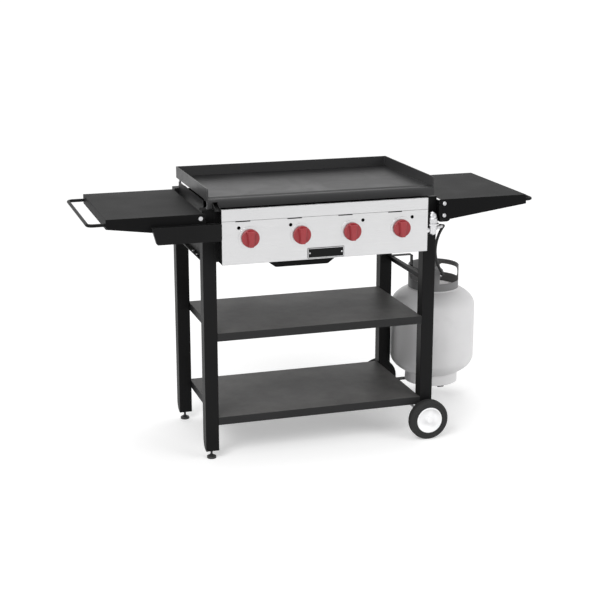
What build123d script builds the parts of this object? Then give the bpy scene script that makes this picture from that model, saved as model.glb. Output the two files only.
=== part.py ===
from build123d import *
import math
import os

# A flat top griddle cart: a steel cooking plate over four gas burners, on a wheeled
# frame with two open shelves, two folding side shelves and a gas tank at the right.
# Sizes are in millimetres. While the pieces are made, x = 0 is midway between the
# legs, y = 0 is the front face of the front legs and z = 0 is the floor. save()
# moves each piece so that the origin is under the middle of the whole cart.

# Frame
leg_outer_x = 413.0  # outer face of the legs, from the middle
leg_width = 46.0
leg_depth = 42.0
leg_sheet = 2.0
leg_pitch = 413.5  # front legs to rear legs
leg_top_z = 870.0
left_leg_z = 31.0  # bottom of the legs that stand on feet
right_leg_z = 47.0  # bottom of the legs that carry the axle
leg_heel = 38.0  # rounding of the flanges' lower rear corners
leg_bend = 2.5

# Plate posts and fastenings
post_radius = 4.0
post_pad_radius = 5.5
post_nut_radius = 6.5
post_nut_height = 6.0
post_tail = 12.0
support_post_inset = 25.0
support_post_x = leg_outer_x - support_post_inset
screw_depth = 18.0
bracket_bolt_zs = (leg_top_z - 70, leg_top_z - 26)
tank_foot_z = 74.0
support_bolt_z = tank_foot_z + 16
box_gap = 0.5
box_bolt_inset = 8.0
box_bolt_x = leg_outer_x - box_bolt_inset
box_bolt_ys = (110.0, 167.0, 290.0, 347.0)
box_front_y = leg_sheet
small_head_radius = 5.5
small_head_height = 3.0
screw_length = 9.0

# Open shelves
shelf_sheet = 1.5
shelf_depth = leg_pitch + 26.5
shelf_lip = 27.5
middle_shelf_z = 446.5
lower_shelf_z = 150.0

# Burner box
box_sheet = 2.0
box_to_leg = 15.0
box_half_x = leg_outer_x - box_to_leg  # outer face of the end panels
box_top_z = leg_top_z + 23
box_bottom_z = leg_top_z - 175
box_wall_top_z = leg_top_z - leg_sheet
floor_sheet = 1.5
floor_opening = (180.0, 130.0)

# Cooking plate
plate_inset = 16.0
plate_half_x = leg_outer_x - plate_inset
plate_front_y = -12.0
plate_back_y = 457.0
cook_z = leg_top_z + 35
plate_sheet = 5.0
wall_sheet = 4.0
wall_top_z = cook_z + 35
skirt_z = cook_z - 29
nose_radius = 11.0
trough_front_y = 6.0
trough_width = 30.0
trough_dip = 4.0
drain_inset = 25.0
drain_x = drain_inset - plate_half_x
drain_radius = 5.0
spout_width = 18.0
spout_tip_y = -48.0
spout_tip_z = cook_z - 33
spout_sheet = 1.5
spout_wall = 9.0

# Control panel
panel_to_leg = 7.0
panel_half_x = leg_outer_x - leg_width - panel_to_leg
panel_front_y = -50.6
panel_sheet = 1.5
panel_top_z = leg_top_z + 6
panel_bottom_z = panel_top_z - 184
crease_z = panel_top_z - 39
crease_gap = 1.0
panel_return = 12.0
vent_length = 50.0
vent_height = 3.0
vent_shift = -24.0  # vents sit a little left of their knobs
side_flange = 13.0
badge_size = (128.0, 36.0)
badge_x = -4.0
badge_z = panel_bottom_z + 21
badge_sheet = 1.2

# Knobs, valves and burners
burner_pitch = 176.6
burner_xs = [(place - 1.5) * burner_pitch for place in range(4)]
valve_z = panel_bottom_z + 86
knob_radius = 30.0
knob_depth = 20.5
knob_gap = 0.5
knob_rim = 7.0
grip_width = 19.0
knob_bore = 12.0
bezel_radius = 40.0
bezel_hole = 14.0
bezel_sheet = 1.5
match_hole_radius = 6.0
match_hole_z = valve_z + 36
match_hole_shift = 38.0
stem_radius = 4.0
stem_length = 34.0
running_gap = 0.05
valve_width = 18.0
valve_back_y = -7.0
manifold_y = -28.0
manifold_z = valve_z - 18
manifold_radius = 9.0
manifold_wall = 1.5
manifold_left_x = burner_xs[0] - 35
nozzle_radius = 4.0
nozzle_length = 9.0
burner_radius = 19.0
burner_wall = 1.5
burner_front_y = -2.0
burner_back_y = 395.0
burner_pin_radius = 4.0
port_count = 12
port_pitch = 26.0

# Side shelves
side_top_z = leg_top_z - 6
side_inner_x = leg_outer_x + 3
side_length = 318.0
side_outer_x = side_inner_x + side_length
side_front_y = -34.0
side_back_y = 430.0
side_sheet = 1.5
side_lip = 32.0
lip_inner_x = leg_outer_x - 5
pivot_x = leg_outer_x + 13
lip_deep_x = pivot_x + 13
pivot_z = side_top_z - 55
lip_deep_z = pivot_z - 16
ear_radius = 9.5
lock_radius = 41.0  # lock bolt to pivot
slot_width = 7.0
bracket_sheet = 2.5
bracket_width = 38.0
bracket_bottom_z = pivot_z - 23
bracket_top_z = pivot_z + 49
bracket_inset = 8.0
fold_gap = 0.3
bolt_radius = 3.0
bolt_gap = 0.1
head_radius = 7.0
head_height = 4.0
handle_radius = 5.5
handle_z = side_top_z - 19
handle_inset = 12.0
left_handle_tip_x = side_outer_x + 61
right_handle_tip_x = side_outer_x + 34
handle_bend = 18.0

# Grease tray and drip pan
tray_left_x = -leg_outer_x - 177
tray_left_foot_x = tray_left_x + 15
tray_right_x = -panel_half_x - 1.5
tray_front_y = -60.0
tray_depth = 20.0
tray_rim_z = cook_z - 73
tray_bottom_z = tray_rim_z - 56
tray_sheet = 1.5
hook_width = 30.0
hook_drop = 12.0
hook_gap = 0.4
hanger_sheet = 2.0
hanger_foot_z = tray_bottom_z + 16
pan_front_y = 223.0
pan_length = 150.0
pan_rim_z = box_bottom_z - 50
pan_bottom_z = pan_rim_z - 40
pan_bottom_half = 99.0
pan_side_slope = 1.36  # outward run of the side walls for each unit of rise
pan_rim = 12.0
pan_sheet = 1.5
pan_corner = 8.0
rail_sheet = 1.5
rail_front_y = 162.0
rail_gap = 0.3

# Wheels and feet
axle_x = leg_outer_x - leg_width / 2
axle_z = 72.0
axle_radius = 5.0
wheel_width = 32.0
hub_radius = 47.0
hub_bore_gap = 0.1
hub_boss = 11.0
hub_web = 6.0
groove_width = 5.0
groove_depth = 2.5
front_wheel_y = -26.0
rear_wheel_y = leg_pitch + 68.5
side_play = 0.3
nut_height = 4.0
nut_radius = 9.0
foot_x = leg_width / 2 - leg_outer_x
foot_radius = 16.0
foot_height = 8.0
foot_stem_radius = 4.0
foot_stem_top_z = 66.0
foot_plate_z = 50.0
foot_plate_sheet = 3.0

# Gas tank
tank_y = 395.0
tank_gap = 3.5
tank_radius = 158.5
tank_x = leg_outer_x + tank_gap + tank_radius
tank_wall = 2.5
tank_dome = 84.0
tank_low_z = tank_foot_z + 21
tank_shell_top = 384.0
tank_high_z = tank_foot_z + tank_shell_top
foot_ring_radius = 100.0
foot_ring_wall = 3.0
foot_notch_yaw = 112.0
foot_notch_size = (20.0, 46.0, 18.0)
collar_radius = 95.0
collar_wall = 3.0
collar_top_z = tank_high_z + 71
port_z = tank_high_z + 47
port_yaw = 272.0  # direction that the tank valve's inlet faces, in degrees from +x
valve_body_radius = 13.0
spud_radius = 18.0
spud_height = 8.0
coupling_radius = 20.0
coupling_length = 22.0
port_reach = 26.0
port_radius = 10.0
stem_top_z = tank_high_z + 65
collar_hold_yaw = 22.0
collar_hold_z = tank_high_z + 36
collar_hold_length = 104.0
collar_hold_height = 34.0
collar_mouth_yaw = 300.0
collar_mouth_half = 38.0
collar_mouth_z = tank_high_z + 14
handwheel_radius = 24.0
handwheel_z = tank_high_z + 58
handwheel_height = 10.0
tank_rail_z = collar_top_z + 43
tank_rail_width = 15.0
tank_rail_drop = 24.0
tank_strap_width = 24.0
strap_sheet = 2.0
support_y = 430.0
support_width = 24.0
support_sheet = 4.0
support_reach_x = tank_x + 85
hanger_low_z = collar_top_z - 23

# Regulator and hose
regulator_x = panel_half_x + 25
regulator_y = -28.0
regulator_port_z = manifold_z + 5
regulator_boss = 4.0
regulator_yaw = 30.0
regulator_body_radius = 16.0
regulator_bottom_z = regulator_port_z - 22
regulator_flange_z = regulator_port_z + 13
regulator_flange_radius = 24.0
regulator_dome_radius = 19.5
regulator_cap_radius = 16.0
regulator_top_z = regulator_port_z + 59
regulator_port_radius = 7.5
regulator_reach = 29.0
hose_radius = 5.0

# Derived places
leg_inner_x = leg_outer_x - leg_width
leg_mid_x = leg_outer_x - leg_width / 2
rear_leg_y = leg_pitch
leg_mid_depth = leg_depth / 2
regulator_left_x = regulator_x - regulator_body_radius - regulator_boss
panel_back_y = panel_front_y + panel_sheet
bezel_front_y = panel_front_y - bezel_sheet
knob_back_y = bezel_front_y - knob_gap
knob_front_y = knob_back_y - knob_depth
wheel_radius = axle_z
port_direction = Vector(math.cos(math.radians(port_yaw)), math.sin(math.radians(port_yaw)), 0)
pan_middle_y = pan_front_y + pan_length / 2
tank_back_y = tank_y + tank_radius
tray_back_y = tray_front_y + tray_depth
x_mid = (right_handle_tip_x - left_handle_tip_x) / 2
y_mid = (knob_front_y + tank_back_y) / 2

os.makedirs("parts", exist_ok=True)


def block(x_span, y_span, z_span, mode=Mode.ADD):
    """Box between two values on each axis, given in either order."""
    spans = [sorted(span) for span in (x_span, y_span, z_span)]
    middle = [(low + high) / 2 for low, high in spans]
    with Locations(tuple(middle)):
        Box(*[high - low for low, high in spans], mode=mode)


def rod(start, end, radius, mode=Mode.ADD):
    """Round bar from one point to another."""
    along = Vector(*end) - Vector(*start)
    with BuildSketch(Plane(origin=start, z_dir=along)) as section:
        Circle(radius)
    extrude(section.sketch, amount=along.length, mode=mode)


def slab(plane, points, thickness, mode=Mode.ADD):
    """Plate with the outline of the points, on a plane and up from it."""
    with BuildSketch(plane) as outline:
        with BuildLine():
            Polyline(*points, close=True)
        make_face()
    extrude(outline.sketch, amount=thickness, mode=mode)


def upright_axis(x, y):
    """Vertical axis through a place on the floor."""
    return Axis((x, y, 0), (0, 0, 1))


def upright_plane(x, y):
    """Vertical plane facing the front, with its origin at a place on the floor."""
    return Plane((x, y, 0), x_dir=(1, 0, 0), z_dir=(0, -1, 0))


def save(piece, name):
    """Label a finished piece, bring it to the cart's own origin and write it."""
    piece.part = piece.part.moved(Location((-x_mid, -y_mid, 0)))
    piece.part.label = name
    export_step(piece.part, f"parts/{name}.step")


# ---------------------------------------------------------------- frame


def regulator_port(reach):
    """Point on the axis of the regulator's inlet, at a distance from its middle."""
    yaw = math.radians(regulator_yaw)
    return (regulator_x + reach * math.cos(yaw), regulator_y + reach * math.sin(yaw), regulator_port_z)


def tank_port(reach):
    """Point on the axis of the tank valve's inlet, at a distance from its middle."""
    return (tank_x + reach * port_direction.X, tank_y + reach * port_direction.Y, port_z)


def bracket_bolt_y(front_y):
    """Where the folding shelf's bracket is bolted to a leg, front to back."""
    if front_y > 0:
        return side_back_y + bracket_sheet + 12
    return front_y + 16


def make_leg(side, front_y, bottom_z, name):
    """Folded channel, web to the front, with a cap that carries the cooking plate."""
    x_in, x_out = side * leg_inner_x, side * leg_outer_x
    back_y = front_y + leg_depth
    with BuildPart() as leg:
        block((x_in, x_out), (front_y, back_y), (bottom_z, leg_top_z))
        fillet(leg.edges().filter_by(Axis.Z).group_by(Axis.Y)[0], leg_bend)
        heel = leg.edges().filter_by(Axis.X).group_by(Axis.Z)[0].sort_by(Axis.Y)[-1]
        fillet(heel, leg_heel)
        inner_x = (x_in + side * leg_sheet, x_out - side * leg_sheet)
        block(inner_x, (front_y + leg_sheet, back_y), (0, leg_top_z - leg_sheet), Mode.SUBTRACT)
        support = (side * support_post_x, front_y + leg_mid_depth, leg_top_z)
        rod(support, (support[0], support[1], 0), post_radius + bolt_gap, Mode.SUBTRACT)
        if bottom_z == left_leg_z:
            plate_back = back_y - leg_heel / 3
            block(inner_x, (front_y + leg_sheet, plate_back), (foot_plate_z, foot_plate_z + foot_plate_sheet))
            stem = (foot_x, front_y + leg_mid_depth, foot_plate_z)
            rod(stem, (stem[0], stem[1], foot_stem_top_z), foot_stem_radius + running_gap, Mode.SUBTRACT)
        else:
            axle_at = (axle_x, front_y, axle_z)
            rod(axle_at, (axle_x, front_y + leg_sheet, axle_z), axle_radius + running_gap, Mode.SUBTRACT)
        for shelf_z in (middle_shelf_z, lower_shelf_z):
            screw_z = shelf_z - shelf_lip / 2
            start = (side * (leg_inner_x - 1), front_y + screw_depth, screw_z)
            end = (side * (leg_inner_x + leg_sheet + 1), start[1], screw_z)
            rod(start, end, bolt_radius + bolt_gap, Mode.SUBTRACT)
        bracket_y = bracket_bolt_y(front_y)
        for bolt_z in bracket_bolt_zs:
            start = (side * (leg_outer_x - leg_sheet - 1), bracket_y, bolt_z)
            rod(start, (side * (leg_outer_x + 1), bracket_y, bolt_z), bolt_radius + bolt_gap, Mode.SUBTRACT)
        if side > 0 and front_y > 0:
            start = (leg_outer_x - leg_sheet - 1, support_y, support_bolt_z)
            rod(start, (leg_outer_x + 1, support_y, support_bolt_z), bolt_radius + bolt_gap, Mode.SUBTRACT)
    save(leg, name)


make_leg(-1, 0, left_leg_z, "leg_front_left")
make_leg(-1, rear_leg_y, left_leg_z, "leg_rear_left")
make_leg(1, 0, right_leg_z, "leg_front_right")
make_leg(1, rear_leg_y, right_leg_z, "leg_rear_right")


def make_open_shelf(top_z, name):
    """Pressed shelf with a lip all round, held between the four legs."""
    half = leg_inner_x
    with BuildPart() as shelf:
        block((-half, half), (0, shelf_depth), (top_z - shelf_lip, top_z))
        fillet(shelf.edges().filter_by(Axis.X).group_by(Axis.Z)[-1], shelf_sheet * 1.3)
        under = shelf.faces().sort_by(Axis.Z)[0]
        offset(amount=-shelf_sheet, openings=under)
        for side in (-1, 1):
            for front_y in (0, rear_leg_y):
                screw_at = (front_y + screw_depth, top_z - shelf_lip / 2)
                start = (side * (half - 2 * shelf_sheet), *screw_at)
                rod(start, (side * (half + 1), *screw_at), bolt_radius + bolt_gap, Mode.SUBTRACT)
    save(shelf, name)


make_open_shelf(middle_shelf_z, "shelf_middle")
make_open_shelf(lower_shelf_z, "shelf_lower")

# ---------------------------------------------------------------- burner box


def make_box_end(side, name):
    """End panel of the burner box, with a flange turned out over the floor."""
    x_out, x_in = side * box_half_x, side * (box_half_x - box_sheet)
    y_span = (leg_sheet, rear_leg_y)
    with BuildPart() as end:
        block((x_in, x_out), y_span, (box_bottom_z, box_top_z))
        flange_y = (leg_depth + box_gap, rear_leg_y)
        block((x_in, x_out), (0, flange_y[0]), (leg_top_z - leg_sheet, box_top_z), Mode.SUBTRACT)
        block((x_out, side * leg_outer_x), flange_y, (box_bottom_z, box_bottom_z + box_sheet))
        with Locations(*[(side * box_bolt_x, y, box_bottom_z) for y in box_bolt_ys]):
            Cylinder(bolt_radius + bolt_gap, 3 * box_sheet, mode=Mode.SUBTRACT)
    save(end, name)


make_box_end(-1, "box_end_left")
make_box_end(1, "box_end_right")

with BuildPart() as box_floor:
    floor_z = (box_bottom_z - floor_sheet, box_bottom_z)
    block((-leg_outer_x, leg_outer_x), (leg_depth + box_gap, rear_leg_y), floor_z)
    block((-leg_inner_x, leg_inner_x), (box_front_y, leg_depth + box_gap), floor_z)
    opening_y = (pan_middle_y - floor_opening[1] / 2, pan_middle_y + floor_opening[1] / 2)
    block((-floor_opening[0] / 2, floor_opening[0] / 2), opening_y, floor_z, Mode.SUBTRACT)
    for side in (-1, 1):
        with Locations(*[(side * box_bolt_x, y, box_bottom_z) for y in box_bolt_ys]):
            Cylinder(bolt_radius + bolt_gap, 3 * floor_sheet, mode=Mode.SUBTRACT)
save(box_floor, "box_floor")

with BuildPart() as box_front:
    box_front_span = (box_front_y, box_front_y + floor_sheet)
    block((-leg_inner_x, leg_inner_x), box_front_span, (box_bottom_z, box_wall_top_z))
    for burner_x in burner_xs:
        start = (burner_x, box_front_y - 1, valve_z)
        rod(start, (burner_x, box_front_y + 3, valve_z), burner_radius + bolt_gap, Mode.SUBTRACT)
save(box_front, "box_front")

with BuildPart() as box_back:
    back_span = (rear_leg_y, rear_leg_y + floor_sheet)
    block((-leg_inner_x, leg_inner_x), back_span, (box_bottom_z - floor_sheet, box_wall_top_z))
save(box_back, "box_back")

# ---------------------------------------------------------------- cooking plate

with BuildPart() as griddle_plate:
    trough_back_y = trough_front_y + trough_width
    section_points = (
        (plate_front_y, skirt_z),
        (plate_front_y, cook_z),
        (trough_front_y, cook_z),
        (trough_front_y + trough_dip, cook_z - trough_dip),
        (trough_back_y - 2 * trough_dip, cook_z - trough_dip),
        (trough_back_y, cook_z),
        (plate_back_y, cook_z),
    )
    with BuildSketch(Plane.YZ.offset(-plate_half_x)) as plate_section:
        with BuildLine():
            bends = (nose_radius, 3.0, 5.0, 5.0, 6.0)
            FilletPolyline(*section_points, radius=bends)
            offset(amount=plate_sheet, side=Side.RIGHT)
        make_face()
    extrude(amount=2 * plate_half_x)
    for side in (-1, 1):
        wall_x = (side * plate_half_x, side * (plate_half_x - wall_sheet))
        block(wall_x, (plate_front_y + 2, plate_back_y), (cook_z - plate_sheet, wall_top_z))
    block((-plate_half_x, plate_half_x), (plate_back_y - wall_sheet, plate_back_y), (cook_z - plate_sheet, wall_top_z))
    front_tops = griddle_plate.edges().filter_by(Axis.X).group_by(Axis.Z)[-1].filter_by(
        lambda edge: edge.center().Y < trough_back_y
    )
    fillet(front_tops, nose_radius)
    drain_at = (drain_x, trough_front_y + trough_width / 2, cook_z)
    rod(drain_at, (drain_x, drain_at[1], skirt_z), drain_radius, Mode.SUBTRACT)
    notch_x = (drain_x - spout_width / 2 - 0.5, drain_x + spout_width / 2 + 0.5)
    notch_y = (plate_front_y - 1, trough_front_y + trough_dip)
    notch_top_z = cook_z - trough_dip - plate_sheet
    block(notch_x, notch_y, (skirt_z - 1, notch_top_z), Mode.SUBTRACT)
save(griddle_plate, "griddle_plate")

with BuildPart() as grease_spout:
    under_z = cook_z - trough_dip - plate_sheet
    back_y = trough_back_y - 3 * trough_dip
    side_outline = (
        (back_y, under_z),
        (trough_front_y + 2 * trough_dip, under_z),
        (plate_front_y, under_z - 2),
        (spout_tip_y, spout_tip_z + spout_wall),
        (spout_tip_y, spout_tip_z),
        (back_y, under_z - 11),
    )
    slab(Plane.YZ.offset(drain_x - spout_width / 2), side_outline, spout_width)
    inner_outline = (
        (back_y - spout_sheet, under_z + 1),
        (spout_tip_y - 1, under_z + 1),
        (spout_tip_y - 1, spout_tip_z + spout_sheet),
        (back_y - spout_sheet, under_z - 11 + spout_sheet),
    )
    inner_width = spout_width - 2 * spout_sheet
    slab(Plane.YZ.offset(drain_x - inner_width / 2), inner_outline, inner_width, Mode.SUBTRACT)
save(grease_spout, "grease_spout")

with BuildPart() as plate_posts:
    for side in (-1, 1):
        for post_y, pad_top_z in (
            (leg_mid_depth, cook_z - trough_dip - plate_sheet),
            (rear_leg_y + leg_mid_depth, cook_z - plate_sheet),
        ):
            x = side * support_post_x
            rod((x, post_y, leg_top_z - post_tail), (x, post_y, pad_top_z), post_radius)
            rod((x, post_y, pad_top_z - 3), (x, post_y, pad_top_z), post_pad_radius)
            with BuildSketch(Plane((x, post_y, leg_top_z))):
                RegularPolygon(post_nut_radius, 6)
            extrude(amount=post_nut_height)
save(plate_posts, "plate_posts")

# ---------------------------------------------------------------- control panel

with BuildPart() as control_panel:
    front_span = (panel_front_y, panel_back_y)
    lower_top_z = crease_z - crease_gap / 2
    block((-panel_half_x, panel_half_x), front_span, (panel_bottom_z, lower_top_z))
    return_y = (panel_front_y, panel_front_y + panel_return)
    block((-panel_half_x, panel_half_x), return_y, (panel_bottom_z, panel_bottom_z + panel_sheet))
    bottom_front = control_panel.edges().filter_by(Axis.X).group_by(Axis.Z)[0].sort_by(Axis.Y)[0]
    fillet(bottom_front, panel_sheet * 0.9)
    for burner_x in burner_xs:
        start = (burner_x, panel_front_y - 1, valve_z)
        rod(start, (burner_x, panel_back_y + 1, valve_z), stem_radius + 1.5, Mode.SUBTRACT)
        vent_x = (burner_x + vent_shift - vent_length / 2, burner_x + vent_shift + vent_length / 2)
        vent_y = (panel_front_y - 1, panel_back_y + 1)
        block(vent_x, vent_y, (lower_top_z - vent_height, lower_top_z + 1), Mode.SUBTRACT)
    for burner_x in burner_xs:
        match_x = burner_x + math.copysign(match_hole_shift, burner_x)
        start = (match_x, panel_front_y - 1, match_hole_z)
        rod(start, (match_x, panel_back_y + 1, match_hole_z), match_hole_radius, Mode.SUBTRACT)
save(control_panel, "control_panel")

with BuildPart() as panel_top_strip:
    block((-panel_half_x, panel_half_x), front_span, (crease_z + crease_gap / 2, panel_top_z))
    block((-panel_half_x, panel_half_x), return_y, (panel_top_z - panel_sheet, panel_top_z))
    top_front = panel_top_strip.edges().filter_by(Axis.X).group_by(Axis.Z)[-1].sort_by(Axis.Y)[0]
    fillet(top_front, panel_sheet * 0.9)
save(panel_top_strip, "panel_top_strip")


with BuildPart() as panel_sides:
    side_z = (panel_bottom_z + panel_sheet, panel_top_z - panel_sheet)
    for side in (-1, 1):
        x_out, x_in = side * panel_half_x, side * (panel_half_x - panel_sheet)
        block((x_in, x_out), (panel_back_y, 0), side_z)
        block((x_in, side * (panel_half_x + side_flange)), (-panel_sheet, 0), (side_z[0], leg_top_z))
    pipe_start = (panel_half_x - 3, manifold_y, manifold_z)
    pipe_end = (panel_half_x + 3, manifold_y, manifold_z)
    rod(pipe_start, pipe_end, manifold_radius + bolt_gap, Mode.SUBTRACT)
save(panel_sides, "panel_sides")

with BuildPart() as badge_plate:
    with BuildSketch(Plane.XZ.offset(-panel_front_y)):
        with Locations((badge_x, badge_z)):
            RectangleRounded(*badge_size, 2.5)
    extrude(amount=badge_sheet)
save(badge_plate, "badge_plate")

with BuildPart() as knob_bezels:
    with BuildSketch(Plane.XZ.offset(-panel_front_y)):
        with Locations(*[(burner_x, valve_z) for burner_x in burner_xs]):
            Circle(bezel_radius)
            Circle(bezel_hole, mode=Mode.SUBTRACT)
    extrude(amount=bezel_sheet)
    fillet(knob_bezels.edges().filter_by(GeomType.CIRCLE).group_by(Axis.Y)[0], bezel_sheet * 0.4)
save(knob_bezels, "knob_bezels")


def make_knob(burner_x, name):
    """Round knob with a raised grip; it carries the valve's stem in a blind bore."""
    grip_front_y = knob_front_y
    base_front_y = knob_back_y - knob_rim
    with BuildPart() as knob:
        with BuildSketch(Plane.XZ.offset(-knob_back_y)) as base:
            with Locations((burner_x, valve_z)):
                Circle(knob_radius)
        extrude(amount=knob_rim)
        fillet(knob.edges().filter_by(GeomType.CIRCLE).group_by(Axis.Y)[0], knob_rim * 0.45)
        with BuildSketch(Plane.XZ.offset(-base_front_y)):
            with Locations((burner_x, valve_z)):
                Rectangle(2 * grip_width, 2 * knob_radius - 10)
        with BuildSketch(Plane.XZ.offset(-grip_front_y)):
            with Locations((burner_x, valve_z)):
                Rectangle(grip_width, 2 * knob_radius - 14)
        loft()
        fillet(knob.edges().group_by(Axis.Y)[0], 1.5)
        bore_end = (burner_x, knob_back_y - knob_bore, valve_z)
        rod((burner_x, knob_back_y, valve_z), bore_end, stem_radius, Mode.SUBTRACT)
    save(knob, name)


def make_valve_stem(burner_x, name):
    """Stem that the knob turns, running in the gas valve."""
    with BuildPart() as stem:
        front_y = knob_back_y - knob_bore
        rod((burner_x, front_y, valve_z), (burner_x, front_y + stem_length, valve_z), stem_radius)
    save(stem, name)


for number, burner_x in enumerate(burner_xs, start=1):
    make_knob(burner_x, f"knob_{number}")
    make_valve_stem(burner_x, f"valve_stem_{number}")

# ---------------------------------------------------------------- gas train

with BuildPart() as manifold:
    manifold_ends = ((manifold_left_x, manifold_y, manifold_z), (regulator_left_x, manifold_y, manifold_z))
    rod(*manifold_ends, manifold_radius)
    bore_start = (manifold_left_x + 4, manifold_y, manifold_z)
    rod(bore_start, manifold_ends[1], manifold_radius - manifold_wall, Mode.SUBTRACT)
save(manifold, "manifold")

with BuildPart() as gas_valves:
    for burner_x in burner_xs:
        valve_x = (burner_x - valve_width / 2, burner_x + valve_width / 2)
        valve_front_y = panel_back_y + 1.5
        block(valve_x, (valve_front_y, valve_back_y), (manifold_z + 4, valve_z + valve_width / 2))
        rod((burner_x, panel_back_y, valve_z), (burner_x, valve_front_y, valve_z), valve_width / 2)
        nozzle_end = (burner_x, valve_back_y + nozzle_length, valve_z)
        rod((burner_x, valve_back_y, valve_z), nozzle_end, nozzle_radius)
        stem_end = (burner_x, knob_back_y - knob_bore + stem_length + running_gap, valve_z)
        rod((burner_x, panel_back_y, valve_z), stem_end, stem_radius + running_gap, Mode.SUBTRACT)
    rod(*manifold_ends, manifold_radius, Mode.SUBTRACT)
save(gas_valves, "gas_valves")


with BuildPart() as burners:
    for burner_x in burner_xs:
        front = (burner_x, burner_front_y, valve_z)
        back = (burner_x, burner_back_y, valve_z)
        rod(front, back, burner_radius)
        rod(back, (burner_x, rear_leg_y, valve_z), burner_pin_radius)
        bore_back = (burner_x, burner_back_y - burner_wall, valve_z)
        rod(front, bore_back, burner_radius - burner_wall, Mode.SUBTRACT)
        port_middle_y = (burner_front_y + burner_back_y) / 2 + port_pitch / 2
        with Locations((burner_x, port_middle_y, valve_z + burner_radius - burner_wall)):
            with GridLocations(burner_radius, port_pitch, 2, port_count):
                Box(2, port_pitch * 0.55, burner_radius, mode=Mode.SUBTRACT)
save(burners, "burners")

with BuildPart() as regulator:
    profile_points = (
        (0, regulator_bottom_z),
        (9, regulator_bottom_z),
        (regulator_body_radius, regulator_bottom_z + 6),
        (regulator_body_radius, regulator_flange_z),
        (regulator_flange_radius, regulator_flange_z),
        (regulator_flange_radius, regulator_flange_z + 5),
        (regulator_dome_radius, regulator_flange_z + 7),
        (regulator_dome_radius - 1, regulator_flange_z + 23),
        (regulator_cap_radius, regulator_flange_z + 25),
        (regulator_cap_radius, regulator_top_z - regulator_cap_radius),
    )
    with BuildSketch(upright_plane(regulator_x, regulator_y)):
        with BuildLine():
            Polyline(*profile_points)
            CenterArc((0, profile_points[-1][1]), regulator_cap_radius, start_angle=0, arc_size=90)
            Line((0, regulator_top_z), profile_points[0])
        make_face()
    revolve(axis=upright_axis(regulator_x, regulator_y))
    inlet_mouth = regulator_port(regulator_reach)
    rod(regulator_port(0), inlet_mouth, regulator_port_radius)
    rod(regulator_port(regulator_reach - 9), inlet_mouth, hose_radius + 4)
    rod((regulator_left_x, manifold_y, manifold_z), (regulator_x, manifold_y, manifold_z), 11)
save(regulator, "regulator")

hose_fall = (  # right, back and down from the regulator's inlet
    (70, 58, 7),
    (78, 96, 26),
    (84, 136, 57),
    (93, 176, 94),
    (106, 214, 133),
    (123, 246, 169),
    (143, 272, 203),
    (164, 292, 231),
    (182, 313, 250),
)
hose_route = (
    inlet_mouth,
    regulator_port(regulator_reach + 32.0),
    *[(regulator_x + right, regulator_y + back, regulator_port_z - down) for right, back, down in hose_fall],
    tank_port(port_reach + coupling_length + 34.0),
    tank_port(port_reach + coupling_length),
)


def hose_radii(route):
    """Bend radius at each inner point: 0.45 of the shorter run over tan(half the turn)."""
    radii = []
    for before, here, after in zip(route, route[1:], route[2:]):
        run_in = Vector(*here) - Vector(*before)
        run_out = Vector(*after) - Vector(*here)
        half_turn = math.radians(run_in.get_angle(run_out)) / 2
        radii.append(0.45 * min(run_in.length, run_out.length) / math.tan(half_turn))
    return radii


radii = hose_radii(hose_route)
with BuildPart() as gas_hose:
    with BuildLine():
        hose_line = FilletPolyline(*hose_route, radius=radii)
    with BuildSketch(Plane(origin=hose_route[0], z_dir=hose_line % 0)):
        Circle(hose_radius)
    sweep()
hose_length = hose_line.length
print("hose radii", [round(radius) for radius in radii], "length", round(hose_length))
print("hose volume ratio", gas_hose.part.volume / (math.pi * hose_radius**2 * hose_length))
save(gas_hose, "gas_hose")

# ---------------------------------------------------------------- gas tank

tank_axis = upright_axis(tank_x, tank_y)


def tank_profile(shrink):
    """Half outline of the tank's body: a straight side between two domes."""
    radius = tank_radius - shrink
    low, high = tank_low_z + shrink, tank_high_z - shrink
    low_side, high_side = tank_low_z + tank_dome, tank_high_z - tank_dome
    with BuildSketch(upright_plane(tank_x, tank_y)) as half:
        with BuildLine():
            EllipticalCenterArc((0, low_side), radius, low_side - low, start_angle=270, arc_size=90)
            Line((radius, low_side), (radius, high_side))
            EllipticalCenterArc((0, high_side), radius, high - high_side, start_angle=0, arc_size=90)
            Line((0, high), (0, low))
        make_face()
    return half.sketch


def tank_rod(low_z, high_z, radius, mode=Mode.ADD):
    """Round bar or bore on the tank's axis."""
    rod((tank_x, tank_y, low_z), (tank_x, tank_y, high_z), radius, mode)


with BuildPart() as tank_body:
    revolve(tank_profile(0), axis=tank_axis)
    tank_rod(tank_high_z - 6, tank_high_z + spud_height, spud_radius)
    revolve(tank_profile(tank_wall), axis=tank_axis, mode=Mode.SUBTRACT)
    tank_rod(tank_high_z - 12, tank_high_z + spud_height, valve_body_radius - 3, Mode.SUBTRACT)
save(tank_body, "tank_body")

with BuildPart() as tank_foot_ring:
    ring_top_z = tank_low_z + tank_dome / 2
    tank_rod(tank_foot_z, ring_top_z, foot_ring_radius)
    tank_rod(tank_foot_z, ring_top_z, foot_ring_radius - foot_ring_wall, Mode.SUBTRACT)
    revolve(tank_profile(0), axis=tank_axis, mode=Mode.SUBTRACT)
    with Locations((tank_x, tank_y, tank_foot_z)):
        with PolarLocations(foot_ring_radius, 3, start_angle=foot_notch_yaw):
            Box(*foot_notch_size, mode=Mode.SUBTRACT)
save(tank_foot_ring, "tank_foot_ring")

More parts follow.
